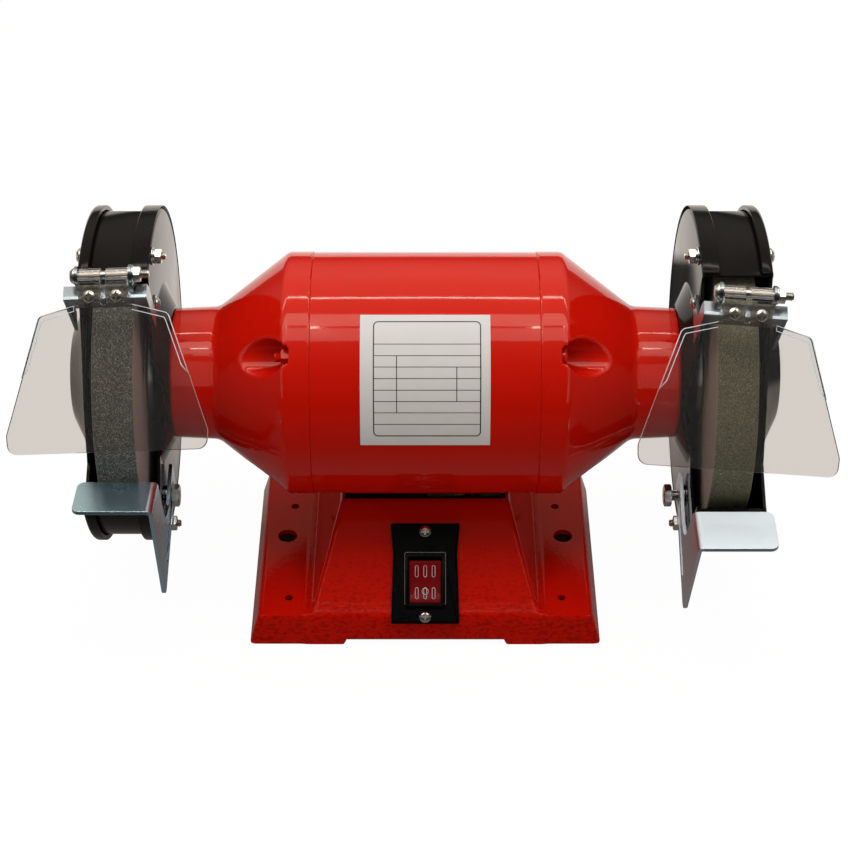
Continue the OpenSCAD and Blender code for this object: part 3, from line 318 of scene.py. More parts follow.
def rounded(points, radius=0.0, steps=4, closed=True):
    """Outline with rounded corners; a point may carry its own radius as a third number."""
    out, count = [], len(points)
    for i, point in enumerate(points):
        p = Vector(point[:2])
        r = point[2] if len(point) > 2 else radius
        if not closed and i in (0, count - 1):
            out.append(p)
            continue
        a = Vector(points[i - 1][:2]) - p
        b = Vector(points[(i + 1) % count][:2]) - p
        half = acos(max(-1, min(1, a.normalized().dot(b.normalized())))) / 2
        if r <= 0 or half > radians(87):
            out.append(p)
            continue
        reach = min(r / tan(half), 0.49 * a.length, 0.49 * b.length)
        r = reach * tan(half)
        centre = p + (a.normalized() + b.normalized()).normalized() * r / sin(half)
        start, end = p + a.normalized() * reach - centre, p + b.normalized() * reach - centre
        a0 = atan2(start.y, start.x)
        sweep = (atan2(end.y, end.x) - a0 + pi) % (2 * pi) - pi
        out += [centre + r * Vector((cos(a0 + sweep * k / steps), sin(a0 + sweep * k / steps)))
                for k in range(steps + 1)]
    return out


def inset(outline, d):
    """Outline moved inwards by d along its corners' normals."""
    area = sum(a.x * b.y - b.x * a.y for a, b in zip(outline, outline[1:] + outline[:1]))
    sign = 1 if area > 0 else -1
    out = []
    for i, p in enumerate(outline):
        a = (p - outline[i - 1]).normalized()
        b = (outline[(i + 1) % len(outline)] - p).normalized()
        normal = Vector((-(a + b).y, (a + b).x)).normalized() * sign
        cut = max(0.5, Vector((-a.y, a.x)).dot(normal) * sign)
        out.append(p + normal * d / cut)
    return out


def loft(rings, loop=False):
    """Skin over rings that have the same number of points; a loop joins its last ring to its first."""
    count = len(rings[0])
    faces = []
    for i in range(len(rings) if loop else len(rings) - 1):
        a, b = i * count, (i + 1) % len(rings) * count
        for j in range(count):
            k = (j + 1) % count
            faces.append((a + j, a + k, b + k, b + j))
    if not loop:
        faces.append(tuple(range(count))[::-1])
        faces.append(tuple(range((len(rings) - 1) * count, len(rings) * count)))
    return tidied(mesh_from([p for ring in rings for p in ring], faces))


def prism(outline, z0, z1, edge=0.0):
    """Plate of an outline from z0 to z1, with rounded edges."""
    outline = [Vector(p[:2]) for p in outline]
    levels = [(0, z0), (0, z1)]
    if edge:
        curve = [(edge * (1 - sin(t)), edge * (1 - cos(t))) for t in (0, pi / 6, pi / 3, pi / 2)]
        levels = [(d, z0 + h) for d, h in curve] + [(d, z1 - h) for d, h in reversed(curve)]
    return loft([[(p.x, p.y, z) for p in (inset(outline, d) if d else outline)] for d, z in levels])


def add(tree, kind, inputs=None, **settings):
    """Adds a node, sets its properties, and links or sets its inputs."""
    node = tree.nodes.new(kind)
    for key, value in settings.items():
        setattr(node, key, value)
    for key, value in (inputs or {}).items():
        socket = node.inputs[key]
        if isinstance(value, bpy.types.Node):
            value = next(o for o in value.outputs if o.enabled)
        if isinstance(value, bpy.types.NodeSocket):
            tree.links.new(value, socket)
        else:
            socket.default_value = value
    return node


def geometry_tree(name, sockets):
    """New Geometry Nodes tree with a geometry input, the named inputs and an output."""
    tree = bpy.data.node_groups.new(name, "GeometryNodeTree")
    tree.is_modifier = True
    for label, kind in [("Geometry", "NodeSocketGeometry")] + sockets:
        tree.interface.new_socket(label, in_out="INPUT", socket_type=kind)
    tree.interface.new_socket("Geometry", in_out="OUTPUT", socket_type="NodeSocketGeometry")
    return tree, tree.nodes.new("NodeGroupInput")


def closed_tree(tree, start, shape):
    """Ends a tree in Realize Instances and Set Material."""
    real = add(tree, "GeometryNodeRealizeInstances", {"Geometry": shape})
    done = add(tree, "GeometryNodeSetMaterial", {"Geometry": real, "Material": start.outputs["Material"]})
    add(tree, "NodeGroupOutput", {"Geometry": done})
    return tree


def grown(mesh, tree, material, **values):
    """Runs a Geometry Nodes tree on a mesh and returns the plain mesh it makes, in a finish."""
    obj = linked("draft", mesh)
    modifier = obj.modifiers.new(tree.name, "NODES")
    modifier.node_group = tree
    keys = {i.name: i.identifier for i in tree.interface.items_tree if i.in_out == "INPUT"}
    for label, value in (values | {"Material": finishes[material]}).items():
        modifier[keys[label]] = value
    return evaluated(obj)


def turning_tree():
    """Sweeps a profile of radius and length round the X axis."""
    tree, start = geometry_tree("Turn on the lathe", [
        ("Segments", "NodeSocketInt"), ("Hub", "NodeSocketFloat"), ("Material", "NodeSocketMaterial")])
    profile = add(tree, "GeometryNodeMeshToCurve", {"Mesh": start.outputs["Geometry"]})
    path = add(tree, "GeometryNodeCurvePrimitiveCircle", {
        "Resolution": start.outputs["Segments"], "Radius": start.outputs["Hub"]})
    swept = add(tree, "GeometryNodeCurveToMesh", {"Curve": path.outputs["Curve"], "Profile Curve": profile})
    laid = add(tree, "GeometryNodeTransform", {"Geometry": swept, "Rotation": Euler((0, radians(90), 0))})
    return closed_tree(tree, start, laid)


def scatter_tree():
    """Puts a copy of the template on every point, turned as the point's attribute says."""
    tree, start = geometry_tree("Repeat the template", [
        ("Template", "NodeSocketObject"), ("Material", "NodeSocketMaterial")])
    source = add(tree, "GeometryNodeObjectInfo", {"Object": start.outputs["Template"]})
    turns = add(tree, "GeometryNodeInputNamedAttribute", {"Name": "turn"}, data_type="FLOAT_VECTOR")
    copies = add(tree, "GeometryNodeInstanceOnPoints", {
        "Points": start.outputs["Geometry"], "Instance": source.outputs["Geometry"],
        "Rotation": turns.outputs["Attribute"]})
    return closed_tree(tree, start, copies)


trees = {}
# Radius of the circle that the sweep follows; the profile hangs outside it.
HUB = 1.0


def turned(profile, material, segments=128, closed=True):
    """Turned shape from a profile of [x, radius] points."""
    count = len(profile)
    edges = [(i, i + 1) for i in range(count - 1)] + ([(count - 1, 0)] if closed else [])
    draft = mesh_from([(r - HUB, -x, 0) for x, r in profile], edges=edges)
    if "turning" not in trees:
        trees["turning"] = turning_tree()
    return tidied(grown(draft, trees["turning"], material, Segments=segments, Hub=HUB))


def bead(outline, z, r, closed=True):
    """Round bead that follows an outline at a height; an open one leaves its last side out."""
    rings = []
    for p, q in zip(outline, inset(outline, 1.0)):
        inward = (q - p).normalized() * r
        turns = [2 * pi * k / 8 for k in range(8)]
        rings.append([(*(p + inward * cos(a)), z + r * sin(a)) for a in turns])
    return loft(rings, loop=closed)


def scattered(template, places, material):
    """Copies of a template at a list of places."""
    if "scatter" not in trees:
        trees["scatter"] = scatter_tree()
    points = mesh_from([m.to_translation() for m in places])
    turns = points.attributes.new("turn", "FLOAT_VECTOR", "POINT")
    turns.data.foreach_set("vector", [c for m in places for c in m.to_euler()])
    source = linked("template", template)
    result = grown(points, trees["scatter"], material, Template=source)
    bpy.data.objects.remove(source)
    return result


# Slot of each finish, where a piece doesn't name its own.
SLOTS = {
    "motor": "red_enamel", "base": "red_enamel", "guard": "black_enamel", "steel": "fastener_steel",
    "turned_steel": "flange_steel", "dim": "zinc_plate", "clip": "zinc_plate", "foil": "foil_plate",
    "ink": "foil_plate", "moulding": "switch_black", "cover": "switch_black", "rocker": "switch_red",
    "rib": "switch_red", "gland": "gland_black", "shield": "clear_shield", "bead": "clear_shield",
    "paper": "blotter_paper",
}


def piece(name, mesh, material, replaces=(), body="root", slot=None, sharp=38, sheet=False):
    """Turns a mesh in millimetres into a finished piece that rides on a body. The broad faces
    of a sheet keep their flat shading right up to their rounded edges."""
    mesh.transform(Matrix.Scale(MM, 4))
    mesh.materials.clear()
    mesh.materials.append(finishes[material])
    mesh.polygons.foreach_set("material_index", [0] * len(mesh.polygons))
    mesh.shade_smooth()
    mesh.set_sharp_from_angle(angle=radians(sharp))
    if sheet:
        draft = linked("draft", mesh)
        modifier = draft.modifiers.new("Flat", "WEIGHTED_NORMAL")
        modifier.keep_sharp = True
        mesh = evaluated(draft)
    mesh.name = name
    obj = linked(name, mesh)
    slot = slot or SLOTS[material]
    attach(obj, body)
    if replaces:
        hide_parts(*replaces)


def fixings(name, template, places, replaces, material="steel", body="root"):
    """Piece of equal fasteners."""
    piece(name, scattered(template, places, material), material, replaces, body)


def dress(node, material):
    """Gives a CAD node that stays its finish."""
    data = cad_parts[node].data
    data.materials.clear()
    data.materials.append(finishes[material])


# ---- cast shapes, as distance fields ----


def both(a, b, r=0.0):
    """Part that two fields share, with its outer edge rounded."""
    if r <= 0:
        return np.maximum(a, b)
    return np.minimum(np.maximum(a, b), -r) + np.hypot(np.maximum(a + r, 0), np.maximum(b + r, 0))


def either(a, b, r=0.0):
    """Parts of two fields together, with a fillet between them."""
    return -both(-a, -b, r)


def slope(u, v, start, end):
    """Distance outside the line from start to end, whose outer side is on its left."""
    du, dv = end[0] - start[0], end[1] - start[1]
    return ((v - start[1]) * du - (u - start[0]) * dv) / hypot(du, dv)


def skin(field, low, high, step):
    """Closed mesh over the surface where a field is zero, with each point moved onto it."""
    low, high = np.array(low, float), np.array(high, float)
    counts = np.ceil((high - low) / step).astype(int) + 1
    axes = [low[i] + step * np.arange(counts[i]) for i in range(3)]
    values = np.empty(counts)
    for i, x in enumerate(axes[0]):
        y, z = np.meshgrid(axes[1], axes[2], indexing="ij")
        values[i] = field(np.full(y.shape, x), y, z)
    inside = values < 0
    cells = tuple(counts - 1)
    corner = [(a, b, c) for a in (0, 1) for b in (0, 1) for c in (0, 1)]

    def shifted(grid, c):
        return grid[c[0]:c[0] + cells[0], c[1]:c[1] + cells[1], c[2]:c[2] + cells[2]]

    total = sum(shifted(inside, c).astype(np.int8) for c in corner)
    crossed = (total > 0) & (total < 8)
    where = np.argwhere(crossed)
    number = np.full(cells, -1)
    number[crossed] = np.arange(len(where))
    sums, hits = np.zeros((len(where), 3)), np.zeros(len(where))
    for a in corner:
        for axis in range(3):
            if a[axis]:
                continue
            b = tuple(v + (i == axis) for i, v in enumerate(a))
            va, vb = shifted(values, a)[crossed], shifted(values, b)[crossed]
            crossing = (va < 0) != (vb < 0)
            share = np.where(crossing, va / np.where(crossing, va - vb, 1), 0)
            point = np.array(a, float) + np.zeros((len(where), 3))
            point[:, axis] += share
            sums += point * crossing[:, None]
            hits += crossing
    points = low + (where + sums / hits[:, None]) * step
    for _ in range(4):
        here = field(*points.T)
        grad = np.stack([
            field(*(points + d).T) - field(*(points - d).T) for d in np.eye(3) * 0.02], 1) / 0.04
        points -= grad * (here / np.maximum((grad ** 2).sum(1), 0.2))[:, None] * 0.9
    faces = []
    for axis in range(3):
        u, v = (axis + 1) % 3, (axis + 2) % 3
        edge, ahead = [slice(None)] * 3, [slice(None)] * 3
        edge[axis], ahead[axis] = slice(0, -1), slice(1, None)
        for i in (u, v):
            edge[i] = ahead[i] = slice(1, -1)
        out = inside[tuple(edge)] & ~inside[tuple(ahead)]
        back = ~inside[tuple(edge)] & inside[tuple(ahead)]
        for flip, mask in ((False, out), (True, back)):
            at = np.argwhere(mask)
            at[:, u] += 1
            at[:, v] += 1
            quad = []
            for du, dv in ((-1, -1), (0, -1), (0, 0), (-1, 0)):
                cell = at.copy()
                cell[:, u] += du
                cell[:, v] += dv
                quad.append(number[tuple(cell.T)])
            faces.append(np.stack(quad[::-1] if flip else quad, 1))
    faces = np.concatenate(faces)
    mesh = bpy.data.meshes.new("shape")
    mesh.vertices.add(len(points))
    mesh.vertices.foreach_set("co", points.ravel())
    mesh.loops.add(faces.size)
    mesh.loops.foreach_set("vertex_index", faces.ravel())
    mesh.polygons.add(len(faces))
    mesh.polygons.foreach_set("loop_start", np.arange(0, faces.size, 4))
    mesh.update(calc_edges=True)
    return mesh


def base_field(x, y, z):
    """The base: a hollow flange and foot with filleted joints and soft edges."""
    r, fillet = sizes().cast_round, sizes().cast_fillet
    wide = np.abs(x)
    toe = slope(-y, z, (60, 17), (63.3, 0))
    heel = slope(y, z, (59, 17), (62, 0))
    side = slope(wide, z, (85, 17), (89.7, 0))
    rim = both(side, both(toe, heel), 3)
    flange = both(rim, z - 17, r)
    panel = slope(-y, z, (11, 52.9), (59, 17))
    front = both(both(panel, z - 52.9, 1.2), toe, 5)
    rear = both(slope(y, z, (43, 52.9), (56, 17)), slope(y, z, (56, 17), (62, 0)))
    cheek = both(slope(wide, z, (43, 52.9), (58, 17)), slope(wide, z, (58, 17), (60, 0)))
    foot = both(both(front, rear, r), cheek, r * 1.4)
    solid = both(either(flange, foot, fillet), both(toe, heel), 1.5)
    shell = both(solid, -(solid + 3), 0.4)
    for px in (-PLATE_SCREW_X, PLATE_SCREW_X):
        for py in PLATE_SCREW_Y:
            post = both(np.hypot(x - px, y - py) - 4, both(5.5 - z, z - 15.5))
            shell = either(shell, post, 1.2)
    relief = both(wide - 41.5 + 0.45 * z, z - 3.5)
    shell = both(shell, -relief, 0.5)
    # The foot's top is open under the front of the motor.
    mouth = both(wide - 41.5, both(both(-9 - y, y + 2), 46 - z))
    shell = both(shell, -mouth, 0.3)
    return both(shell, -z, 0.3)


def bell_field(x, y, z):
    """An end bell: drum, cone and neck with four pockets for the tie bolts."""
    r = np.hypot(y, z)
    cone_a, cone_b, neck_b = (68.6, 61.5), (104.2, 33.8), (126.5, 32.8)
    drum = both(r - BELL_R, slope(x, r, cone_a, cone_b), 1.0)
    solid = either(drum, slope(x, r, cone_b, neck_b), 1.5)
    solid = both(both(solid, 56 - x, 0.5), x - 126.5, 0.8)
    spigot = both(both(r - 58.6, 51 - x), x - 58)
    solid = either(solid, spigot)
    room = both(r - 56.5, slope(x, r, (68.6, 56.5), (104.2, 28.8)))
    room = either(room, both(r - 29.3, x - 113))
    room = either(either(room, both(r - 17.5, x - 124)), r - 8.5)
    pocket, boss = 1e3, 1e3
    for a in TIE_ANGLES:
        py, pz = front_point(TIE_R, a)
        away = np.hypot(y - py, z - pz)
        pocket = np.minimum(pocket, both(away - 8.8, 66 - x, 1.2))
        boss = np.minimum(boss, both(away - 10.8, 62 - x))
    shell = both(solid, -both(room, -boss))
    return both(shell, -pocket, sizes().pocket_round)


# ---- templates for fasteners; the head stands towards +X and the shank towards -X ----


def threaded(r, x0, x1):
    """Profile points of a thread from x0 to x1, drawn as rings."""
    pitch = sizes().thread_pitch
    count = max(1, round(abs(x1 - x0) / pitch))
    out = []
    for i in range(count):
        a, b = x0 + (x1 - x0) * i / count, x0 + (x1 - x0) * (i + 1) / count
        out += [(a, r - pitch * 0.42), (a * 0.5 + b * 0.5, r)]
    return out + [(x1, r - pitch * 0.42)]


def cross_head(r, h, shank, reach):
    """Pan-head screw with a cross recess."""
    profile = [(0, 0), (0, r, 0.25), (h * 0.35, r, h * 0.5), (h, r * 0.55, h * 0.9), (h, 0)]
    head = turned(rounded(profile, steps=5, closed=False), "steel", 40)
    w, l = 0.14 * r, 0.62 * r
    plus = [(w, w), (w, l), (-w, l), (-w, w), (-l, w), (-l, -w), (-w, -w), (-w, -l), (w, -l), (w, -w),
            (l, -w), (l, w)]
    recess = placed(prism(plus, h * 0.35, h + 1), ALONG_X)
    shaft = [(-reach, 0), (-reach, shank - 0.5)] + threaded(shank, -reach + 0.4, -0.4)
    stem = turned(shaft + [(0.1, shank), (0.1, 0)], "steel", 24)
    return joined([eased(combined(head, recess), 0.06, 50, 1), stem])


def hex_nut(af, h, bore):
    """Hexagon nut from x = 0 to h, with chamfered corners and bore."""
    angles = [2 * pi * i / 48 for i in range(48)]
    flat = af / 2 * 0.96
    corner = [af / 2 / cos((a + pi / 6) % (pi / 3) - pi / 6) for a in angles]
    drop = [max(0.0, (c - flat) * 0.5) for c in corner]

    def ring(radii, heights):
        return [(x, r * cos(a), r * sin(a)) for a, r, x in zip(angles, radii, heights)]

    def even(r, x):
        return ring([r] * 48, [x] * 48)

    return loft([
        even(bore + 0.35, 0), even(flat, 0), ring(corner, drop), ring(corner, [h - d for d in drop]),
        even(flat, h), even(bore + 0.35, h), even(bore, h - 0.3), even(bore, 0.3)], loop=True)


def washer(r, bore, x0, x1):
    return turned(rounded(sleeve(x0, x1, bore, r), 0.15, 2), "steel", 48)


# ---- finishes ----


def per(size):
    """Texture scale that repeats every so many millimetres."""
    return 1 / (size * MM)


def finish(name, sockets, *clouds):
    """New material with one Principled shader, whose sockets are set by name, and its clouds: each
    a noise of a size in millimetres, a detail and at times a roughness."""
    material = bpy.data.materials.new(name)
    material.use_nodes = True
    tree = material.node_tree
    tree.nodes.clear()
    shader = add(tree, "ShaderNodeBsdfPrincipled", sockets)
    add(tree, "ShaderNodeOutputMaterial", {"Surface": shader}).name = "Output"
    place = add(tree, "ShaderNodeTexCoord").outputs["Object"]
    noises = [add(tree, "ShaderNodeTexNoise", {
        "Vector": place, "Scale": per(size), "Detail": detail, "Roughness": rough[0] if rough else 0.5,
    }).outputs["Fac"] for size, detail, *rough in clouds]
    return material, tree, shader, place, *noises


def coat(tree, shader, tone, rough=None):
    """Links the colour of a finish, and its roughness."""
    tree.links.new(tone, shader.inputs["Base Color"])
    if rough is not None:
        tree.links.new(rough, shader.inputs["Roughness"])


def facing(tree, axis):
    """How squarely the surface faces along an axis of its object, from 0 to 1."""
    normal = add(tree, "ShaderNodeSeparateXYZ", {0: add(tree, "ShaderNodeTexCoord").outputs["Normal"]})
    return calc(tree, "ABSOLUTE", normal.outputs["XYZ".index(axis)])


def rgb(value):
    return tuple(value) + (1.0,)


def scaled(value, k):
    return tuple(min(1.0, c * k) for c in value[:3]) + (1.0,)


def lift(tree, shader, height, depth, normal_of=None):
    """Bump of a depth in millimetres on the shader's normal."""
    bump = add(tree, "ShaderNodeBump", {"Height": height, "Distance": depth * MM, "Strength": 1.0})
    if normal_of:
        tree.links.new(normal_of.outputs["Normal"], bump.inputs["Normal"])
    tree.links.new(bump.outputs["Normal"], shader.inputs["Normal"])
    return bump


def calc(tree, operation, a, b=0.0):
    return add(tree, "ShaderNodeMath", {0: a, 1: b}, operation=operation).outputs[0]


def mixed(tree, a, b, factor):
    """Mix of two colours by a factor."""
    return add(tree, "ShaderNodeMix", {"Factor": factor, 6: a, 7: b}, data_type="RGBA").outputs[2]


def spread(tree, value, low, high, to_low=0.0, to_high=1.0):
    """Maps a value from one range to another."""
    return add(tree, "ShaderNodeMapRange", {
        "Value": value, "From Min": low, "From Max": high, "To Min": to_low, "To Max": to_high,
    }).outputs["Result"]


def enamel(name, peel, rough_peel, shine):
    """Gloss stove enamel sprayed on iron: a wet shine that the surface makes waver. Low on a casting the coat
    turns to orange peel, with a pinhole here and there; painted shade darkens the pinholes and the pits of
    the peel."""
    material, tree, shader, place, fine, wave, patch = finish(name, {
        "IOR": 1.4, "Specular IOR Level": shine, "Specular Tint": (1.0, 0.95, 0.8, 1.0),
    }, (2.6, 1.5), (18, 1.0), (45, 3.0))
    base = rgb(colours().enamel)
    tone = mixed(tree, scaled(base, 0.95), scaled(base, 1.04), patch)
    bump = lift(tree, shader, wave, peel * 2)
    bump = lift(tree, shader, fine, peel, bump)
    if rough_peel:
        low = spread(tree, add(tree, "ShaderNodeSeparateXYZ", {0: place}).outputs["Z"], 0.045, 0.012)
        wide = add(tree, "ShaderNodeMapping", {"Vector": place, "Scale": (0.6, 1, 1)})
        crust = add(tree, "ShaderNodeTexNoise", {
            "Vector": wide, "Scale": per(1.5), "Detail": 2.0}).outputs["Fac"]
        bump = lift(tree, shader, calc(tree, "MULTIPLY", low, crust), rough_peel, bump)
        cells = add(tree, "ShaderNodeTexVoronoi", {"Vector": place, "Scale": per(6), "Randomness": 1.0})
        hole = spread(tree, cells.outputs["Distance"], 0.03, 0.09)
        lift(tree, shader, hole, rough_peel, bump)
        # Painted shade darkens each pinhole.
        tone = mixed(tree, scaled(base, 0.6), tone, hole)
        pit_shade = calc(tree, "MULTIPLY", low, spread(tree, crust, 0.46, 0.66))
        # Painted shade in the pits of the peel, left off ledges that face straight up.
        pit_shade_facing = spread(tree, facing(tree, "Z"), 0.97, 0.9, 0.0, 0.65)
        tone = mixed(tree, tone, scaled(base, 0.4), calc(tree, "MULTIPLY", pit_shade, pit_shade_facing))
    coat(tree, shader, tone, spread(tree, patch, 0.35, 0.7, 0.05, 0.09))
    return material


def guard_enamel(name):
    """Semi-gloss black stoving enamel on pressed steel: dark, with soft wide highlights."""
    material, tree, shader, place, peel, dust, patch = finish(name, {
        "Specular IOR Level": 0.1, "Specular Tint": (1.0, 0.93, 0.86, 1.0),
    }, (2.2, 2.0), (0.9, 3.0), (30, 4.0))
    base = rgb(colours().guard_paint)
    tone = mixed(tree, scaled(base, 0.8), scaled(base, 1.25), patch)
    tone = mixed(tree, tone, linear("#6D6862"), spread(tree, dust, 0.7, 0.76, 0.0, 0.2))
    coat(tree, shader, tone, spread(tree, patch, 0.3, 0.7, 0.09, 0.15))
    lift(tree, shader, peel, 0.02)
    return material


def plated(name, base, roughness, grain=0.0, stretch=(1, 1, 1), metallic=1.0, shine=0.5, worn=None):
    """Bright electroplated steel: a mirror dulled by the rolled or cut surface under it. Where it
    faces up, a worn one is as dull as its own number says."""
    material, tree, shader, place, cloud = finish(name, {
        "Metallic": metallic, "Specular IOR Level": shine}, (12, 3.0))
    coat(tree, shader, mixed(tree, scaled(base, 0.96), scaled(base, 1.03), cloud),
         spread(tree, cloud, 0.3, 0.7, roughness * 0.9, roughness * 1.1))
    if worn is not None:
        tree.links.new(spread(tree, facing(tree, "Z"), 0.6, 0.9, metallic, worn), shader.inputs["Metallic"])
    if grain:
        laid = add(tree, "ShaderNodeMapping", {"Vector": place, "Scale": stretch})
        lines = add(tree, "ShaderNodeTexNoise", {"Vector": laid, "Scale": per(0.6), "Detail": 3.0})
        lift(tree, shader, lines.outputs["Fac"], grain)
    return material


def moulded(name, base, roughness, grain=0.02, shine=0.5):
    """Moulded plastic with a fine spark-eroded texture."""
    material, tree, shader, place, fine, cloud = finish(name, {"Specular IOR Level": shine},
                                                        (0.5, 2.0), (9, 2.0))
    coat(tree, shader, mixed(tree, scaled(base, 0.85), scaled(base, 1.1), cloud),
         spread(tree, cloud, 0.3, 0.7, roughness * 0.85, roughness * 1.2))
    lift(tree, shader, fine, grain)
    return material


def abrasive(name, base, grit, dark, light):
    """Vitrified aluminium oxide: pale and dark grains in a dull bond, open pores between them."""
    material, tree, shader, place, pores = finish(name, {"IOR": 1.5, "Roughness": 0.85},
                                                  (grit * 1.6, 4.0, 0.7))
    grains = add(tree, "ShaderNodeTexVoronoi", {"Vector": place, "Scale": per(grit), "Randomness": 1.0})
    each = add(tree, "ShaderNodeSeparateColor", {"Color": grains.outputs["Color"]})
    tone = mixed(tree, scaled(base, 0.85), scaled(base, 1.15), pores)
    tone = mixed(tree, tone, linear(dark), spread(tree, each.outputs["Red"], 0.5, 0.9, 0.0, 0.8))
    tone = mixed(tree, tone, linear(light), spread(tree, each.outputs["Green"], 0.75, 1.0, 0.0, 0.7))
    # The sides are painted paler and pinker: painted light and a painted pink reflection of the red motor.
    tone = mixed(tree, tone, linear("#A3918B"), spread(tree, facing(tree, "X"), 0.5, 0.9, 0.0, 0.6))
    coat(tree, shader, tone)
    lift(tree, shader, spread(tree, grains.outputs["Distance"], 0.0, 0.6, 1.0, 0.0), grit * 0.35)
    return material


def clear_plastic(name):
    """Injection-moulded polycarbonate: clear with a warm grey tint and a trace of haze."""
    tint = rgb(colours().shield)
    material, tree, shader, place, haze = finish(name, {
        "Base Color": tint, "IOR": 1.35, "Transmission Weight": 1.0}, (30, 2.0))
    tree.links.new(spread(tree, haze, 0.3, 0.7, 0.015, 0.05), shader.inputs["Roughness"])
    through = add(tree, "ShaderNodeBsdfTransparent", {"Color": tuple(c ** 0.5 for c in tint)})
    shadow = add(tree, "ShaderNodeLightPath").outputs["Is Shadow Ray"]
    mix = add(tree, "ShaderNodeMixShader", {0: shadow, 1: shader, 2: through})
    tree.links.new(mix.outputs[0], tree.nodes["Output"].inputs["Surface"])
    return material


def tinted_plastic(name):
    """Deep red polycarbonate of a rocker, polished by its mould, with painted shade that makes it darker low
    down."""
    base = rgb(colours().rocker)
    material, tree, shader, place, cloud = finish(name, {"Specular IOR Level": 0.1}, (5, 2.0))
    # Painted shade: the rocker gets darker towards its low end.
    painted_low_shade = spread(tree, add(tree, "ShaderNodeSeparateXYZ", {0: place}).outputs["Z"], 0.024, 0.018)
    coat(tree, shader, mixed(tree, base, scaled(base, 0.3), painted_low_shade), spread(tree, cloud, 0.3, 0.7, 0.1, 0.18))
    lift(tree, shader, cloud, 0.02)
    return material


def ruled(name, sockets, distortion, direction, dark, light, depth):
    """Metal in fine lines: core plates 0.5 mm thick, drawn 1 mm apart so that they show, or the
    shiny strands of a winding."""
    material, tree, shader, place = finish(name, sockets)
    lines = add(tree, "ShaderNodeTexWave", {"Vector": place, "Scale": per(20), "Distortion": distortion},
                bands_direction=direction).outputs["Fac"]
    coat(tree, shader, mixed(tree, linear(dark), linear(light), lines))
    lift(tree, shader, lines, depth)
    return material


def paper(name):
    """Blotting paper: soft fibres, quite matt."""
    material, tree, shader, place, fibre = finish(name, {"Roughness": 0.9}, (1.2, 5.0))
    coat(tree, shader, mixed(tree, linear("#6E5B4B"), linear("#A08C78"), fibre))
    lift(tree, shader, fibre, 0.08)
    return material


finishes = {}


def make_finishes():
    c, grit = colours(), sizes()
    zinc = rgb(c.zinc)
    finishes.update(
        motor=enamel("gloss_red_enamel", 0.01, 0.0, 0.65),
        base=enamel("base_red_enamel", 0.015, 0.11, 0.18),
        guard=guard_enamel("black_stoving_enamel"),
        left_rest=plated("smooth_zinc_plated_sheet", linear("#C9EAFF"), 0.26, 0.006),
        right_rest=plated("satin_zinc_plated_sheet", linear("#EDF8FF"), 0.34, 0.02, worn=0.0),
        dim=plated("dark_zinc_plated_sheet", scaled(zinc, 0.4), 0.24, 0.006),
        clip=clear_plastic("clear_clip_plastic"),
        # A pale bead that paints the glint on the switch cover's edge.
        cover=plated("painted_glint_cover_edge", linear("#8B7F78"), 0.2, metallic=0.0),
        # Pale beads that paint the glint along the shields' lips.
        bead=plated("painted_glint_lip_edge", linear("#DCE6EC"), 0.2, metallic=0.0),
        steel=plated("bright_plated_steel", rgb(c.steel), 0.2),
        turned_steel=plated("turned_steel", linear("#A9ACAE"), 0.32, 0.02, (8, 0.5, 0.5)),
        bearing=plated("ground_bearing_steel", linear("#B9BDC1"), 0.15),
        foil=plated("lacquered_silver_foil", rgb(c.foil), 0.5, 0.003, (0.1, 4, 4), 0.0, 0.12),
        ink=moulded("black_printing_ink", linear("#1B1A1A"), 0.5, 0.005),
        moulding=moulded("black_moulded_nylon", rgb(c.moulding), 0.25, 0.01, 0.06),
        rocker=tinted_plastic("red_translucent_polycarbonate"),
        # The rocker's pale rib loops are painted glints.
        rib=moulded("painted_rib_glint_colour", linear("#DAD5D1"), 0.3, 0.005),
        shield=clear_plastic("clear_polycarbonate"),
        coarse=abrasive("coarse_grey_abrasive", rgb(c.coarse), grit.grit_coarse, "#20211E", "#BDBDB3"),
        fine=abrasive("fine_green_grey_abrasive", rgb(c.fine), grit.grit_fine, "#333326", "#B3B198"),
        paper=paper("blotter_paper"),
        sheet=plated("galvanised_sheet", linear("#8E9396"), 0.45, 0.02),
        can=plated("drawn_aluminium_can", linear("#C4C7CA"), 0.3),
        block=moulded("white_terminal_plastic", linear("#D8D6CE"), 0.4),
        lead_blue=moulded("blue_lead_insulation", linear("#2B3A7B"), 0.4),
        lead_red=moulded("red_lead_insulation", linear("#8A1F1B"), 0.4),
        gland=moulded("black_rubber", linear("#1B1B1C"), 0.55, 0.04),
        core=ruled("stamped_core_plates", {"Metallic": 1.0, "Roughness": 0.45}, 0.0, "X",
                   "#3F4245", "#85898D", 0.1),
        copper=ruled("enamelled_copper_wire", {"Metallic": 0.8, "Roughness": 0.3}, 1.5, "Z",
                     "#6E2E12", "#C9783C", 0.2),
    )


# ---- operators ----


class Maker:
    """Shared by every operator: a fault stops the script instead of being cancelled."""
    bl_options = {"REGISTER", "UNDO"}

    def execute(self, context):
        if not finishes:
            make_finishes()
        self.make()
        return {"FINISHED"}


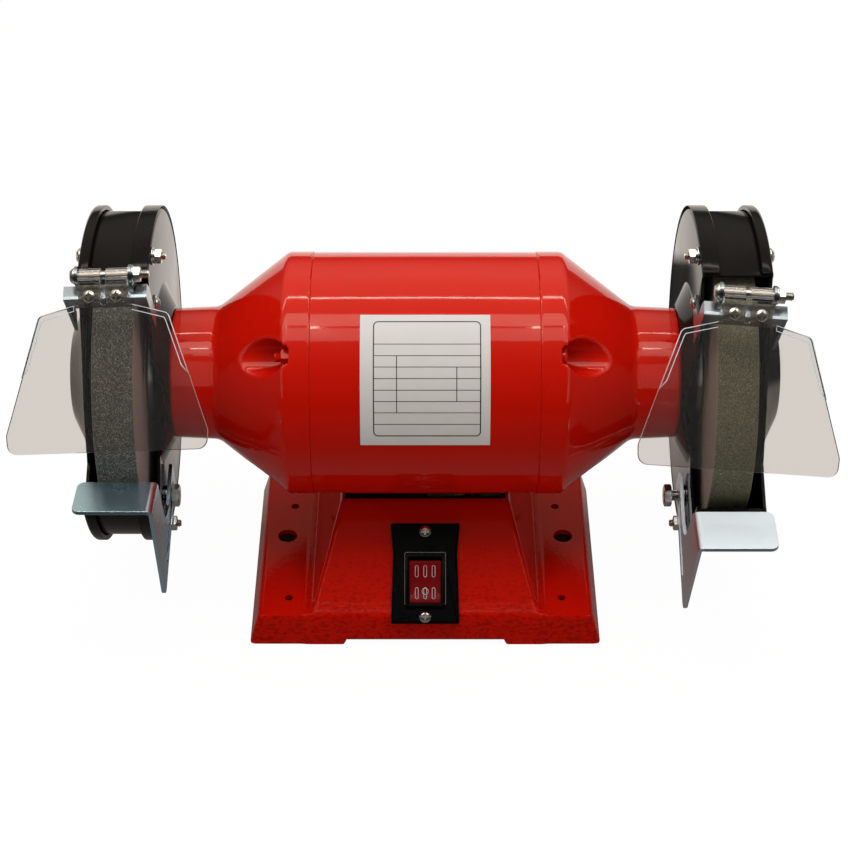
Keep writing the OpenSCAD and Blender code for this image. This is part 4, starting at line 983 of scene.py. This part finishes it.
class GRINDER_OT_base(Maker, bpy.types.Operator):
    """Cast base with its foot, flange, holes and bottom plate"""
    bl_idname = "grinder.base"
    bl_label = "Base"

    def make(self):
        shell = skin(base_field, (-92, -64.5, -2), (92, 64.5, 55), 1.0)
        # One hole for the motor's leads, and on each side those for the bench bolt, two small ones
        # in the flange, and those for the screws of the bottom plate and under the motor.
        holes = [(34, AXIS_Y, 5)]
        for s in SIDE:
            holes.append((s * 73, 2, 5.0))
            holes += [(s * 70, y, 2.1) for y in (-46, 26)]
            holes += [(s * PLATE_SCREW_X, y, 1.5) for y in PLATE_SCREW_Y]
            holes += [(s * SADDLE_SCREW_X, y, 2.8) for y in SADDLE_SCREW_Y]
        # The posts of the bottom plate have blind holes; the others go right through.
        drills = [prism(circle(r, 40, x, y), -5, 13 if y in PLATE_SCREW_Y else 60) for x, y, r in holes]
        drills.append(placed(prism(rounded(rect(-9.55, -13, 9.55, 13), 0.6), -15, 15), on_panel(ROCKER)))
        drills += [placed(prism(circle(1.8, 24), -15, 15), on_panel(s)) for s in SWITCH_SCREWS]
        drills.append(placed(prism(circle(7, 40), -15, 15), at_gland()))
        for drill in drills:
            shell = combined(shell, drill)
        piece("base_casting", shell, "base", ["base_shell"], sharp=32)
        dress("bottom_plate", "sheet")
        places = [move(x, y, 4) @ turn("Y", 90) for x in (-PLATE_SCREW_X, PLATE_SCREW_X)
                  for y in PLATE_SCREW_Y]
        fixings("bottom_plate_fixings", cross_head(2.9, 1.8, 1.45, 7), places, ["bottom_plate_screws"])
        places = [move(x, y, 49.9) @ turn("Y", 90) for x in (-SADDLE_SCREW_X, SADDLE_SCREW_X)
                  for y in SADDLE_SCREW_Y]
        fixings("saddle_fixings", cross_head(4.2, 3, 2.45, 6.3), places, ["saddle_screws"])


class GRINDER_OT_motor(Maker, bpy.types.Operator):
    """Motor tube, end bells and tie bolts"""
    bl_idname = "grinder.motor"
    bl_label = "Motor"

    def make(self):
        tube = turned(rounded(sleeve(-56, 56, BORE_R, TUBE_R, 0.4)), "motor", 192)
        saddle = prism(rounded(rect(-40, -22, 40, 22), 2), PLATFORM_Z, 58, 0.4)
        tube = combined(placed(tube, SPINDLE), placed(saddle, move(0, AXIS_Y, 0)), "UNION")
        tube = combined(tube, placed(turned(sleeve(-60, 60, 0, BORE_R), "motor", 192), SPINDLE))
        piece("motor_barrel", tube, "motor", ["motor_tube"])
        bell = skin(bell_field, (49.5, -63, -63), (128, 63, 63), 0.95)
        for s, name in SIDE.items():
            piece(name + "_bell", placed(bell, mirrored(s)), "motor", [name + "_end_bell"], sharp=45)
        rod = [(-73, 0), (-73, 2.1)] + threaded(2.5, -72.6, -66) + [(-65, 2.5), (66, 2.5)]
        rod += rounded([(66, 4.7), (68.4, 4.7, 1.6), (69.2, 2.6, 1)], steps=4, closed=False)
        bolt = turned(rod + [(69.2, 0)], "motor", 40, closed=False)
        places = [SPINDLE @ on_circle(TIE_R, a) for a in TIE_ANGLES]
        fixings("tie_rods", bolt, places, ["tie_bolts"], "motor")
        fixings("tie_rod_nuts", placed(hex_nut(8, 4, 2.5), move(-70, 0, 0)), places, ["tie_nuts"], "motor")
        for node, key in (("stator_core", "core"), ("stator_windings", "copper"), ("left_bearing", "bearing"),
                          ("right_bearing", "bearing"), ("motor_leads", "lead_red"), ("rotor_core", "core")):
            dress(node, key)


class GRINDER_OT_rating_plate(Maker, bpy.types.Operator):
    """Foil plate round the motor, with its printed table left empty"""
    bl_idname = "grinder.rating_plate"
    bl_label = "Rating plate"

    def make(self):
        def wrapped(u0, u1, a0, a1, low, high, corner=0.0):
            """Patch between two angles, u0 to u1 along the motor, with rounded corners."""
            span = radians(a1 - a0) * TUBE_R
            count = max(2, int(span / 1.2))
            stops = {i / count for i in range(count + 1)}
            if corner:
                near = {corner / span * (1 - cos(radians(t))) for t in range(0, 91, 15)}
                stops |= near | {1 - stop for stop in near}
            columns = 12 if u1 - u0 > 4 else 2
            rings = []
            for stop in sorted(stops):
                d = min(stop, 1 - stop) * span
                cut = corner - sqrt(max(0, corner ** 2 - (corner - d) ** 2)) if d < corner else 0.0
                a = radians(a0 + (a1 - a0) * stop)
                xs = [u0 + cut + (u1 - u0 - 2 * cut) * i / columns for i in range(columns + 1)]
                rings.append([(x, -high * cos(a), high * sin(a)) for x in xs] +
                             [(x, -low * cos(a), low * sin(a)) for x in reversed(xs)])
            return loft(rings)

        plate = wrapped(-31.5, 31.5, 2, 64, TUBE_R + 0.05, TUBE_R + 0.35, 0.4)
        piece("foil_plate", placed(plate, SPINDLE), "foil", ["rating_plate"])
        w = sizes().rule_width
        top, high = TUBE_R + 0.33, TUBE_R + 0.37
        per_mm = degrees(1 / TUBE_R)
        rows = (60.8, 49.7, 44.4, 39.3, 34.1, 28.9, 23.7, 18.4, 12.8, 6.8)
        lines = [(-25, 26.8, a, a + w * per_mm * 0.8) for a in rows[1:-1]]
        lines += [(-14, -14 + w, rows[7], rows[2]), (15, 15 + w, rows[6], rows[3])]
        strips = [wrapped(*line, top, high) for line in lines]
        # The border is one closed strip with rounded corners, in steps short enough to bend.
        border = rounded(rect(-25.2, rows[-1] / per_mm, 27.0, rows[0] / per_mm), 2.5, 6)
        path = []
        for a, b in zip(border, border[1:] + border[:1]):
            steps = max(1, int((b - a).length / 1.2))
            path += [a + (b - a) * k / steps for k in range(steps)]
        rings = []
        for p, q in zip(path, inset(path, w * 1.3)):
            ring = []
            for point, r in ((p, top), (p, high), (q, high), (q, top)):
                a = radians(point.y * per_mm)
                ring.append((point.x, -r * cos(a), r * sin(a)))
            rings.append(ring)
        strips.append(loft(rings, loop=True))
        piece("plate_ruling", placed(joined(strips), SPINDLE), "ink")


class GRINDER_OT_switch(Maker, bpy.types.Operator):
    """Switch plate, switch, rocker and the wiring in the base"""
    bl_idname = "grinder.switch"
    bl_label = "Switch"

    def make(self):
        # The face plate's sides slope in from its thin edge; a riser under it meets the panel.
        outline = rounded([(-17.75, 26), (-16.35, 10), (-17.35, -26), (17.35, -26), (16.35, 10), (17.75, 26)],
                          0.7, 3)
        levels = ((0.25, 1.2), (0, 1.4), (0, 1.85), (1.15, 2.72), (1.35, 2.8))
        plate = loft([[(q.x, q.y, z) for q in (inset(outline, d) if d else outline)] for d, z in levels])
        plate = combined(plate, prism(rect(-11.4, -19.2, 11.4, 10.6), 0.05, 1.5), "UNION")
        plate = combined(plate, prism(rect(-9.55, -17.3, 9.55, 8.7), -1, 4))
        for y in (21.5, -22.5):
            plate = combined(plate, prism(circle(2.2, 24, 0, y), -1, 4))
        middle = on_panel(SWITCH_PLATE)
        piece("switch_face_plate", placed(plate, middle), "moulding", ["switch_plate"], slot="black_enamel",
              sheet=True)
        piece("switch_housing", eased(cad_copy("switch_body"), 0.3), "moulding", ["switch_body"])
        places = [on_panel(s) @ move(0, 0, 2.8) @ turn("Y", -90) for s in SWITCH_SCREWS]
        fixings("switch_fixings", cross_head(3.2, 1.9, 1.75, 8), places, ["switch_screws"])
        # The clear dust cover over the opening is drawn only as a pale bead: a painted glint on its edge.
        cover = rounded([(-10.4, -17.4, 2.2), (10.4, -17.4, 2.2), (10.4, 10.6, 0.6), (-10.4, 10.6, 0.6)])
        piece("switch_cover_edge", placed(bead(cover, 2.84, 0.2), middle), "cover")
        pivot = on_panel(ROCKER) @ move(0, 0, -1.7)
        tilted = pivot @ turn("X", 7)
        outline = rounded([(-11, 2.6, 0), (-11, 6.2, 0.9), (-5.5, 4.75, 12), (0, 4.3, 14), (5.5, 4.75, 12),
                           (11, 6.2, 0.9), (11, 2.6, 0), (3, -2.6, 0.6), (-3, -2.6, 0.6)], steps=6)
        cap = placed(prism(outline, -8.2, 8.2, 0.6), tilted @ ALONG_X)
        pin = placed(turned(sleeve(-9, 9, 0, 1.2), "rocker", 24), pivot)
        piece("rocker_cap", joined([cap, pin]), "rocker", ["switch_rocker"], "rocker")

        def loop_of(half_w, half_l):
            path = rounded(rect(-half_w, -half_l, half_w, half_l), half_w * 0.98, 6)
            rings = []
            for i, p in enumerate(path):
                ahead = (path[(i + 1) % len(path)] - path[i - 1]).normalized()
                out = Vector((ahead.y, -ahead.x))
                rings.append([(*(p + out * 0.15 * cos(2 * pi * k / 6)), 0.15 * sin(2 * pi * k / 6))
                              for k in range(6)])
            return loft(rings, loop=True)

        # Pale loops that paint the glint on the edges of grip ribs: three on each half, and a ring round the
        # lower middle one.
        marks = []
        for y, lean in ((5.6, 13.5), (-5.6, -13.5)):
            places = [tilted @ move(x, y, 5.05) @ turn("X", lean * 0.55) for x in (-4.3, 0, 4.3)]
            marks.append(scattered(loop_of(0.75, 2.9), places, "rib"))
        marks.append(placed(loop_of(1.6, 1.6), tilted @ move(0, -4.6, 4.95) @ turn("X", -7)))
        piece("rocker_marking", joined(marks), "rib", body="rocker")
        for node, key in (("switch_leads", "lead_blue"), ("capacitor", "can"), ("capacitor_clip", "steel"),
                          ("terminal_block", "block")):
            dress(node, key)


class GRINDER_OT_gland(Maker, bpy.types.Operator):
    """Ribbed cord inlet on the back of the base"""
    bl_idname = "grinder.gland"
    bl_label = "Cord inlet"

    def make(self):
        profile = [(-6, 3.6), (-6, 6.95), (0, 6.95)]
        profile += rounded([(0, 7), (0, 10), (3, 10, 1), (3, 8)], 0.3, closed=False)
        for i in range(5):
            x = 3.4 + i * 1.7
            r = 8 - (x - 3) * 2 / 9
            profile += [(x, r), (x + 0.8, r - 0.1), (x + 1.0, r - 0.8), (x + 1.5, r - 0.9)]
        profile += rounded([(11.9, 6.1), (12, 6, 0.6), (12, 3.6, 0.6), (11, 3.6)], closed=False)
        shape = joined([
            turned(profile, "gland", 64), placed(hex_nut(16.4, 5.9, 6.9), move(-9, 0, 0)),
            turned(sleeve(-9, -5.5, 3.6, 7.1), "gland", 48)])
        piece("cord_inlet", placed(shape, at_gland() @ turn("Y", -90)), "gland", ["cable_gland"])


def wedge(points):
    """Tool that opens the front of the guard's sheets between two angles, past some points."""
    outline = [front_point(GUARD_R * 1.5, 71), front_point(GUARD_R * 0.94, 71)] + list(points)
    outline += [front_point(GUARD_R * k, a) for k, a in ((0.94, -18), (1.5, -18), (3, 0), (3, 71))]
    return placed(prism(outline, 100, 200), ALONG_X)


class GRINDER_OT_guards(Maker, bpy.types.Operator):
    """Inner guards with their bands, and the domed side covers"""
    bl_idname = "grinder.guards"
    bl_label = "Wheel guards"

    def make(self):
        face = rounded([(126.5, 9.5), (126.5, 34, 2.5), (132.5, 46, 3), (132.5, 83.6, 2.6), (141, 85)],
                       0, 5, closed=False)[:-1]
        rim = rounded([(132.5, 84.2), (132.5, 85, 1.2), (141, 85, 0.5), (141, 81.5, 0.5), (134, 81.5, 0.4),
                       (134, 45.5, 1.6), (128, 33.5, 1.2), (128, 9.5, 0)], 0, 5, closed=False)[1:]
        plate = turned(face + rim, "guard", 160)
        plate = combined(plate, wedge([(-30, 45), (-38, -18), (-50, -34), (-68, -40)]))
        band = turned(rounded(sleeve(133, 164.5, 80.5, 82), 0.5, 3), "guard", 160)
        outline = [(0, 0)] + [front_point(GUARD_R * 1.5, -18.5 + 90 * i / 8) for i in range(9)]
        band = combined(band, placed(prism(outline, 100, 200), ALONG_X))
        nut_boss = turned(rounded([(133, 3.05), (133, 5.5), (137, 5.5, 0.5), (137, 3.05)]), "guard", 40)
        stud_boss = turned(rounded([(133, 1.5), (133, 3.8), (135, 3.8, 0.4), (135, 1.5)]), "guard", 32)
        guard = joined([combined(plate, band, "UNION"), placed(nut_boss, REST_PIVOT),
                        placed(stud_boss, on_circle(*BRACKET_SCREW))])
        cover = turned(rounded([
            (177, 0, 0), (177, 24, 6), (171.5, 35, 14), (166.6, 47, 8), (166.5, 52, 0), (166.5, 85, 2.2),
            (161, 85, 0.4), (161, 82.6, 0.4), (165, 82.6, 0.8), (165, 50, 8), (170, 34, 12), (175.5, 22, 5),
            (175.5, 0, 0)], 0, 6, closed=False), "guard", 160, closed=False)
        opening = wedge([(-34, 46), (-47, 16), (-56, -14)])
        cover = combined(cover, combined(opening, turned(sleeve(90, 210, 0, 48), "guard", 96)))
        for s, name in SIDE.items():
            piece(name + "_guard_shell", placed(eased(guard, 0.25, 55), mirrored(s)), "guard",
                  [name + "_inner_guard"])
            piece(name + "_cover_shell", placed(eased(cover, 0.3, 55), mirrored(s)), "guard",
                  [name + "_side_cover"])


class GRINDER_OT_fasteners(Maker, bpy.types.Operator):
    """Cover screws, nuts and washers, and the screws inside the guards"""
    bl_idname = "grinder.fasteners"
    bl_label = "Guard fasteners"

    def make(self):
        nut = joined([washer(4.4, 2.0, -0.8, 0), washer(3.7, 2.0, -1.7, -0.8),
                      placed(hex_nut(7, 3.2, 1.9), move(-4.9, 0, 0))])
        for name, template, r, angles, x, node in (
                ("cover_fixings", cross_head(3.9, 2.6, 1.95, 41), *COVER_SCREWS, COVER_X, "cover_screws"),
                ("cover_fixing_nuts", nut, *COVER_SCREWS, GUARD_X, "cover_nuts"),
                ("guard_fixings", cross_head(4.4, 2, 2.45, 9.5), 25, (90, 210, 330), 128, "guard_screws"),
                ("bracket_fixings", placed(cross_head(2.8, 1.8, 1.45, 4.3), HALF_TURN),
                 BRACKET_SCREW[0], BRACKET_SCREW[1:], 130, "spark_bracket_screws")):
            spots = [SPINDLE @ on_circle(r, a) @ move(s * x, 0, 0) @ (Matrix() if s > 0 else HALF_TURN)
                     for s in SIDE for a in angles]
            fixings(name, template, spots, [node])


class GRINDER_OT_shields(Maker, bpy.types.Operator):
    """Spark brackets, hinge rods, clips and the clear eye shields"""
    bl_idname = "grinder.shields"
    bl_label = "Eye shields"

    def make(self):
        rod = [(-15.65, 0)] + rounded(
            [(-15.65, 1.2), (-15.65, 2.6, 1.2), (-13.9, 3.9, 1.0), (-13.25, 3.9, 0.2), (-13.25, 2)],
            steps=4, closed=False)
        rod += [(13.25, 2), (17.4, 2)] + threaded(2, 17.4, 20.8) + [(21.25, 1.5), (21.25, 0)]
        hinge = joined([turned(rod, "steel", 40, closed=False), washer(4.2, 1.9, 13.25, 14.05),
                        placed(hex_nut(7, 3.2, 1.95), move(14.05, 0, 0))])
        screw = cross_head(2.9, 1.8, 1.45, 4.6)
        outline = rounded([
            (-12.6, -14, 1.5), (-30, -18.8, 3), (-46.75, -73.5, 4), (-46.2, -82.5, 7), (46.2, -82.5, 7),
            (46.75, -73.5, 4), (30, -18.8, 3), (12.6, -14, 1.5), (11.35, -14, 0), (11.35, -5.5, 0.8),
            (1.25, -5.5, 0.8), (1.25, -14, 1.0), (-1.25, -14, 1.0), (-1.25, -5.5, 0.8), (-11.35, -5.5, 0.8),
            (-11.35, -14, 0)], steps=5)
        upright = turn("X", 90)
        slab = placed(prism(outline, 1, 4, 0.35), upright)
        w, h = sizes().lip_width, sizes().lip_height
        edge = rounded([(13.5, -14.3), (30, -18.85, 3), (38.6, -46.9)], 0, 5, closed=False)
        inner = [Vector((13.5, -14.3 - w * 1.03)), Vector((28.2, -18.4 - w)), Vector((28.9, -19.6 - w)),
                 Vector((35.6, -43.2))]
        beads = []
        for s in SIDE:
            lip = [Vector((s * p.x, p.y)) for p in edge + inner[::-1]]
            slab = combined(slab, placed(prism(lip, 3.5, 4 + h, 0.3), upright), "UNION")
            # A pale bead along the lip paints its glint.
            beads.append(placed(bead(lip, 4 + h - 0.06, 0.2, closed=False), upright))
        for s, name in SIDE.items():
            body = name + "_shield"
            bracket, clips = name + "_spark_bracket", name + "_shield_clips"
            piece(name + "_bracket_sheet", eased(cad_copy(bracket), 0.3), "dim", [bracket], sheet=True)
            piece(name + "_hinge_screw", placed(hinge, at_bracket(s)), "steel", [name + "_shield_rod"])
            piece(name + "_clip_pair", eased(cad_copy(clips), 0.2), "clip", [clips], body, sheet=True)
            spots = [hang(s) @ move(x, -4.8, -10) @ turn("Z", -90) for x in (-6.3, 6.3)]
            fixings(name + "_clip_fixings", screw, spots, [name + "_clip_screws"], body=body)
            piece(name + "_eye_shield", placed(slab, hang(s)), "shield", [body], body, sheet=True)
            # The lip's painted glint.
            piece(name + "_shield_lip", placed(joined(beads), hang(s)), "bead", body=body)


class GRINDER_OT_rests(Maker, bpy.types.Operator):
    """Tool rests bent from one sheet, with their clamp bolts"""
    bl_idname = "grinder.rests"
    bl_label = "Tool rests"

    def make(self):
        # The sheet is cut flat and then bent about a line that lies along the platform's slope.
        t, bend, x0, width, depth = 2.0, sizes().rest_bend, 129.3, 38.5, 26
        tilt = radians(24)
        along, up = Vector((cos(tilt), sin(tilt))), Vector((-sin(tilt), cos(tilt)))
        back = Vector((33, 55.4))
        front = back + along * depth
        start = back.dot(up) - bend - t
        neutral = bend + t / 2
        turning = neutral * pi / 2
        spare = turning + width - 2 * (t + bend)
        outline = rounded([
            (-9.5, -8, 1), (56, -8, 2), (59, -6.5, 3), (60, -3, 2), tuple(front),
            (*(front + up * spare), 4), (*(back + up * spare), 4), tuple(back), (31, 22, 10), (27, 13, 10),
            (18, 8, 10), (-9.5, 8, 1)], 0, 5)
        slot = [(end + SLOT_R * cos(radians(a)), SLOT_R * sin(radians(a)))
                for end, first in ((41, -90), (0, 90)) for a in range(first, first + 181, 15)]
        sheet = combined(prism(outline, 0, t, 0.3), prism(slot, -1, t + 1))
        bm = bmesh.new()
        bm.from_mesh(sheet)
        for i in range(11):
            bmesh.ops.bisect_plane(bm, geom=bm.verts[:] + bm.edges[:] + bm.faces[:], dist=1e-4,
                                   plane_co=(*(up * (start + turning * i / 10)), 0), plane_no=(*up, 0))
        for v in bm.verts:
            u, b, w = v.co.xy.dot(along), v.co.xy.dot(up), v.co.z
            past = b - start
            x = x0 + w
            if past > 0:
                phi = min(past / neutral, pi / 2)
                r = bend + t - w
                x = x0 + t + bend - r * cos(phi) + max(0, past - turning)
                b = start + r * sin(phi)
            flat = along * u + up * b
            v.co = (x, -flat.x, flat.y)
        bent = bpy.data.meshes.new("shape")
        bm.to_mesh(bent)
        bm.free()
        bent = tidied(bent)
        for s, name in SIDE.items():
            piece(name + "_rest_sheet", placed(bent, at_rest(s) @ move(0, REST_IN[s], 0)), name + "_rest",
                  [name + "_tool_rest"], name + "_rest", "rest_steel", sheet=True)
            out = 3.5 if s > 0 else 0
            shank = [(4, 0), (4, 2.7)] + threaded(2.85, 4.3, 10.6) + [(11, 2.3), (11, 0)]
            bolt = joined([
                hex_nut(10, 3.95, 1.0), turned(sleeve(0.1, 4, 0, 1.4), "steel", 24),
                turned(shank, "steel", 32, closed=False), washer(5.6, 3.1, 6.1 + out, 7.1 + out)])
            piece(name + "_rest_clamp_bolt", placed(bolt, at_rest(s) @ move(x0 - 4 - out, 0, 0)), "steel",
                  [name + "_rest_bolt"], name + "_rest_clamp")


class GRINDER_OT_wheels(Maker, bpy.types.Operator):
    """Spindle, flanges, blotters, wheels and spindle nuts"""
    bl_idname = "grinder.wheels"
    bl_label = "Spindle and wheels"

    def make(self):
        inner, outer = WHEEL_X - WHEEL_W / 2, WHEEL_X + WHEEL_W / 2
        for (s, name), key in zip(SIDE.items(), ("coarse", "fine")):
            wheel = turned(rounded(sleeve(inner, outer, 6.45, WHEEL_R, 0.9)), key, 160)
            piece(name + "_grinding_wheel", placed(wheel, mirrored(s)), key, [name + "_wheel"],
                  "spindle", key + "_abrasive")
        blotters, flanges = [], {-1: [], 1: []}
        for s, name in SIDE.items():
            for way, x, thick in ((-1, inner - 0.6, 3.2), (1, outer + 0.6, 3.4)):
                disc = turned(sleeve(min(x, x - way * 0.6), max(x, x - way * 0.6), 7, 33), "paper", 96)
                blotters.append(placed(disc, mirrored(s)))
                dish = turned(rounded(
                    [(x, 6.4), (x, 14), (x + way * 0.8, 15), (x + way * 0.8, 21), (x, 22), (x, 26, 0.4),
                     (x + way * thick, 25.2, 0.8), (x + way * thick, 6.4)], 0.2, 3), "turned_steel", 96)
                flanges[way].append(placed(dish, mirrored(s)))
            nut = placed(hex_nut(19, 6.5, 6.4), move(outer + 4.0, 0, 0))
            piece(name + "_wheel_nut", placed(nut, mirrored(s)), "steel", [name + "_spindle_nut"], "spindle")
        piece("blotters", joined(blotters), "paper", ["wheel_blotters"], "spindle")
        for way, name, node in ((-1, "near_flanges", "inner_flanges"), (1, "far_flanges", "outer_flanges")):
            piece(name, joined(flanges[way]), "turned_steel", [node], "spindle")
        end = outer + 11.5
        half = [(0, 9.5), (113, 9.5), (113, 7.5), (134.7, 7.5), (134.7, 6.35), (150, 6.35), (158, 6.35)]
        half += threaded(6.35, 158.5, end - 0.6) + [(end, 5.4), (end, 0)]
        whole = [(-x, r) for x, r in reversed(half)] + half[1:]
        shaft = placed(turned(whole, "turned_steel", 64, closed=False), SPINDLE)
        piece("spindle_shaft", shaft, "turned_steel", ["spindle"], "spindle", "spindle_steel")


class GRINDER_OT_stage(Maker, bpy.types.Operator):
    """Floor, light and camera"""
    bl_idname = "grinder.stage"
    bl_label = "Stage"

    def make(self):
        scene = bpy.context.scene
        stage = scene.grinder_stage
        scene.view_settings.view_transform = "Standard"
        self.lay_floor(stage)
        self.fill_room(stage)
        self.hang_lamps(stage)
        lens = bpy.data.cameras.new("Camera")
        lens.lens, lens.sensor_width = LENS, 36
        lens.shift_x, lens.shift_y = LENS_SHIFT
        scene.camera = linked("Camera", lens)
        scene.camera.location = CAMERA_PLACE
        scene.camera.rotation_euler = (radians(CAMERA_TILT), 0, 0)

    def lay_floor(self, stage):
        """Pale floor that takes the shadow. For gloss its glow is painted: bright behind, and dark in front
        as painted shade of the floor near the object.
        """
        material, tree, shader, place = finish("pale_floor", {
            "Base Color": rgb(stage.floor), "Roughness": 0.9})
        at = add(tree, "ShaderNodeSeparateXYZ", {0: place}).outputs
        path = add(tree, "ShaderNodeLightPath").outputs
        near = spread(tree, at["Y"], -0.21, -0.1, 0.02, 0.14)
        far = spread(tree, at["Y"], 0.03, 0.17, 0.0, 0.9)
        # A painted dark patch behind on the right, which only that guard's plate mirrors: a painted
        # reflection.
        dark = calc(tree, "MINIMUM", spread(tree, at["X"], 0.07, 0.08), spread(tree, at["Y"], 0.302, 0.286))
        dark = calc(tree, "MINIMUM", dark, spread(tree, at["Y"], 0.13, 0.15))
        painted_gloss_glow = calc(tree, "MULTIPLY", calc(tree, "ADD", near, far), calc(tree, "SUBTRACT", 1.0, dark))
        clear = calc(tree, "MAXIMUM", path["Is Camera Ray"], path["Is Transmission Ray"])
        bright = calc(tree, "MAXIMUM", painted_gloss_glow, calc(tree, "MULTIPLY", clear, 1.045))
        hue = mixed(tree, linear("#FFF5EC"), WHITE, clear)
        shine = add(tree, "ShaderNodeEmission", {"Color": hue, "Strength": bright})
        share = calc(tree, "MULTIPLY", calc(tree, "MAXIMUM", path["Is Glossy Ray"], clear), 0.93)
        # Inside the base the floor is in the dark, so its holes stay black.
        beside = [calc(tree, "GREATER_THAN", calc(tree, "ABSOLUTE", at[axis]), half)
                  for axis, half in (("X", 0.087), ("Y", 0.059))]
        share = calc(tree, "MULTIPLY", share, calc(tree, "MAXIMUM", *beside))
        mix = add(tree, "ShaderNodeMixShader", {0: share, 1: shader, 2: shine})
        tree.links.new(mix.outputs[0], tree.nodes["Output"].inputs["Surface"])
        ground = mesh_from([(-4, -4, 0), (4, -4, 0), (4, 4, 0), (-4, 4, 0)], [(0, 1, 2, 3)])
        ground.materials.append(material)
        floor = linked("floor", ground)

    def fill_room(self, stage):
        """Bright back wall and ceiling, and a dim room on the operator's side."""
        world = bpy.data.worlds.new("Room")
        world.use_nodes = True
        tree = world.node_tree
        tree.nodes.clear()
        path = add(tree, "ShaderNodeLightPath").outputs
        seen_at = add(tree, "ShaderNodeTexCoord").outputs["Generated"]
        at = add(tree, "ShaderNodeSeparateXYZ", {0: seen_at}).outputs
        wall = spread(tree, at["Y"], -0.75, 0.45, 0.06, 0.8)
        low = spread(tree, at["Z"], 0.1, 0.6, 0.12, 1.0)
        glow = spread(tree, at["Y"], -0.75, 0.45, 0.3 * stage.room, 0.73 * stage.room)
        soft, shown, white = (
            add(tree, "ShaderNodeBackground", {"Color": hue, "Strength": strength}) for hue, strength in (
                (WHITE, glow), (linear("#FFF6E1"), calc(tree, "MULTIPLY", wall, low)), (WHITE, 1.0)))
        lit = add(tree, "ShaderNodeMixShader", {0: path["Is Glossy Ray"], 1: soft, 2: shown})
        seen = calc(tree, "MAXIMUM", path["Is Camera Ray"], path["Is Transmission Ray"])
        room = add(tree, "ShaderNodeMixShader", {0: seen, 1: lit, 2: white})
        add(tree, "ShaderNodeOutputWorld", {"Surface": room})
        bpy.context.scene.world = world

    def hang_lamps(self, stage):
        """Panels of light that face down from one height: their middle, sides and power."""
        for name, x, y, width, depth, power in (
                ("Front softbox", 0, -0.173, 1.2, 0.128, stage.key),
                ("Rear softbox", 0, -0.034, 1.2, 0.114, stage.back),
                ("Strip light", 0, 0.198, 1.2, 0.016, stage.tube),
                ("Left side panel", -0.19, -0.11, 0.055, 0.14, stage.side),
                ("Right side panel", 0.19, -0.11, 0.055, 0.14, stage.side)):
            panel = bpy.data.lights.new(name, "AREA")
            panel.shape, panel.size, panel.size_y, panel.energy = "RECTANGLE", width, depth, power
            linked(name, panel).location = (x, y, LAMP_HEIGHT)


MAKERS = (
    GRINDER_OT_base, GRINDER_OT_motor, GRINDER_OT_rating_plate, GRINDER_OT_switch, GRINDER_OT_gland,
    GRINDER_OT_guards, GRINDER_OT_fasteners, GRINDER_OT_shields, GRINDER_OT_rests, GRINDER_OT_wheels,
    GRINDER_OT_stage,
)
GROUPS = {"grinder_sizes": GrinderSizes, "grinder_colours": GrinderColours, "grinder_stage": GrinderStage}


class GRINDER_PT_panel(bpy.types.Panel):
    """Lists the pieces of the grinder"""
    bl_idname = "GRINDER_PT_panel"
    bl_label = "Bench Grinder"
    bl_space_type = "VIEW_3D"
    bl_region_type = "UI"
    bl_category = "Grinder"

    def draw(self, context):
        for name in GROUPS:
            group, box = getattr(context.scene, name), self.layout.box()
            for key in group.__annotations__:
                box.prop(group, key)
        for maker in MAKERS:
            self.layout.operator(maker.bl_idname)


CLASSES = tuple(GROUPS.values()) + MAKERS + (GRINDER_PT_panel,)


def register():
    for cls in CLASSES:
        bpy.utils.register_class(cls)
    for name, group in GROUPS.items():
        setattr(bpy.types.Scene, name, PointerProperty(type=group))


def unregister():
    for name in GROUPS:
        delattr(bpy.types.Scene, name)
    for cls in reversed(CLASSES):
        bpy.utils.unregister_class(cls)


def main():
    register()
    for maker in MAKERS:
        group, name = maker.bl_idname.split(".")
        getattr(getattr(bpy.ops, group), name)()


if __name__ == "__main__":
    main()
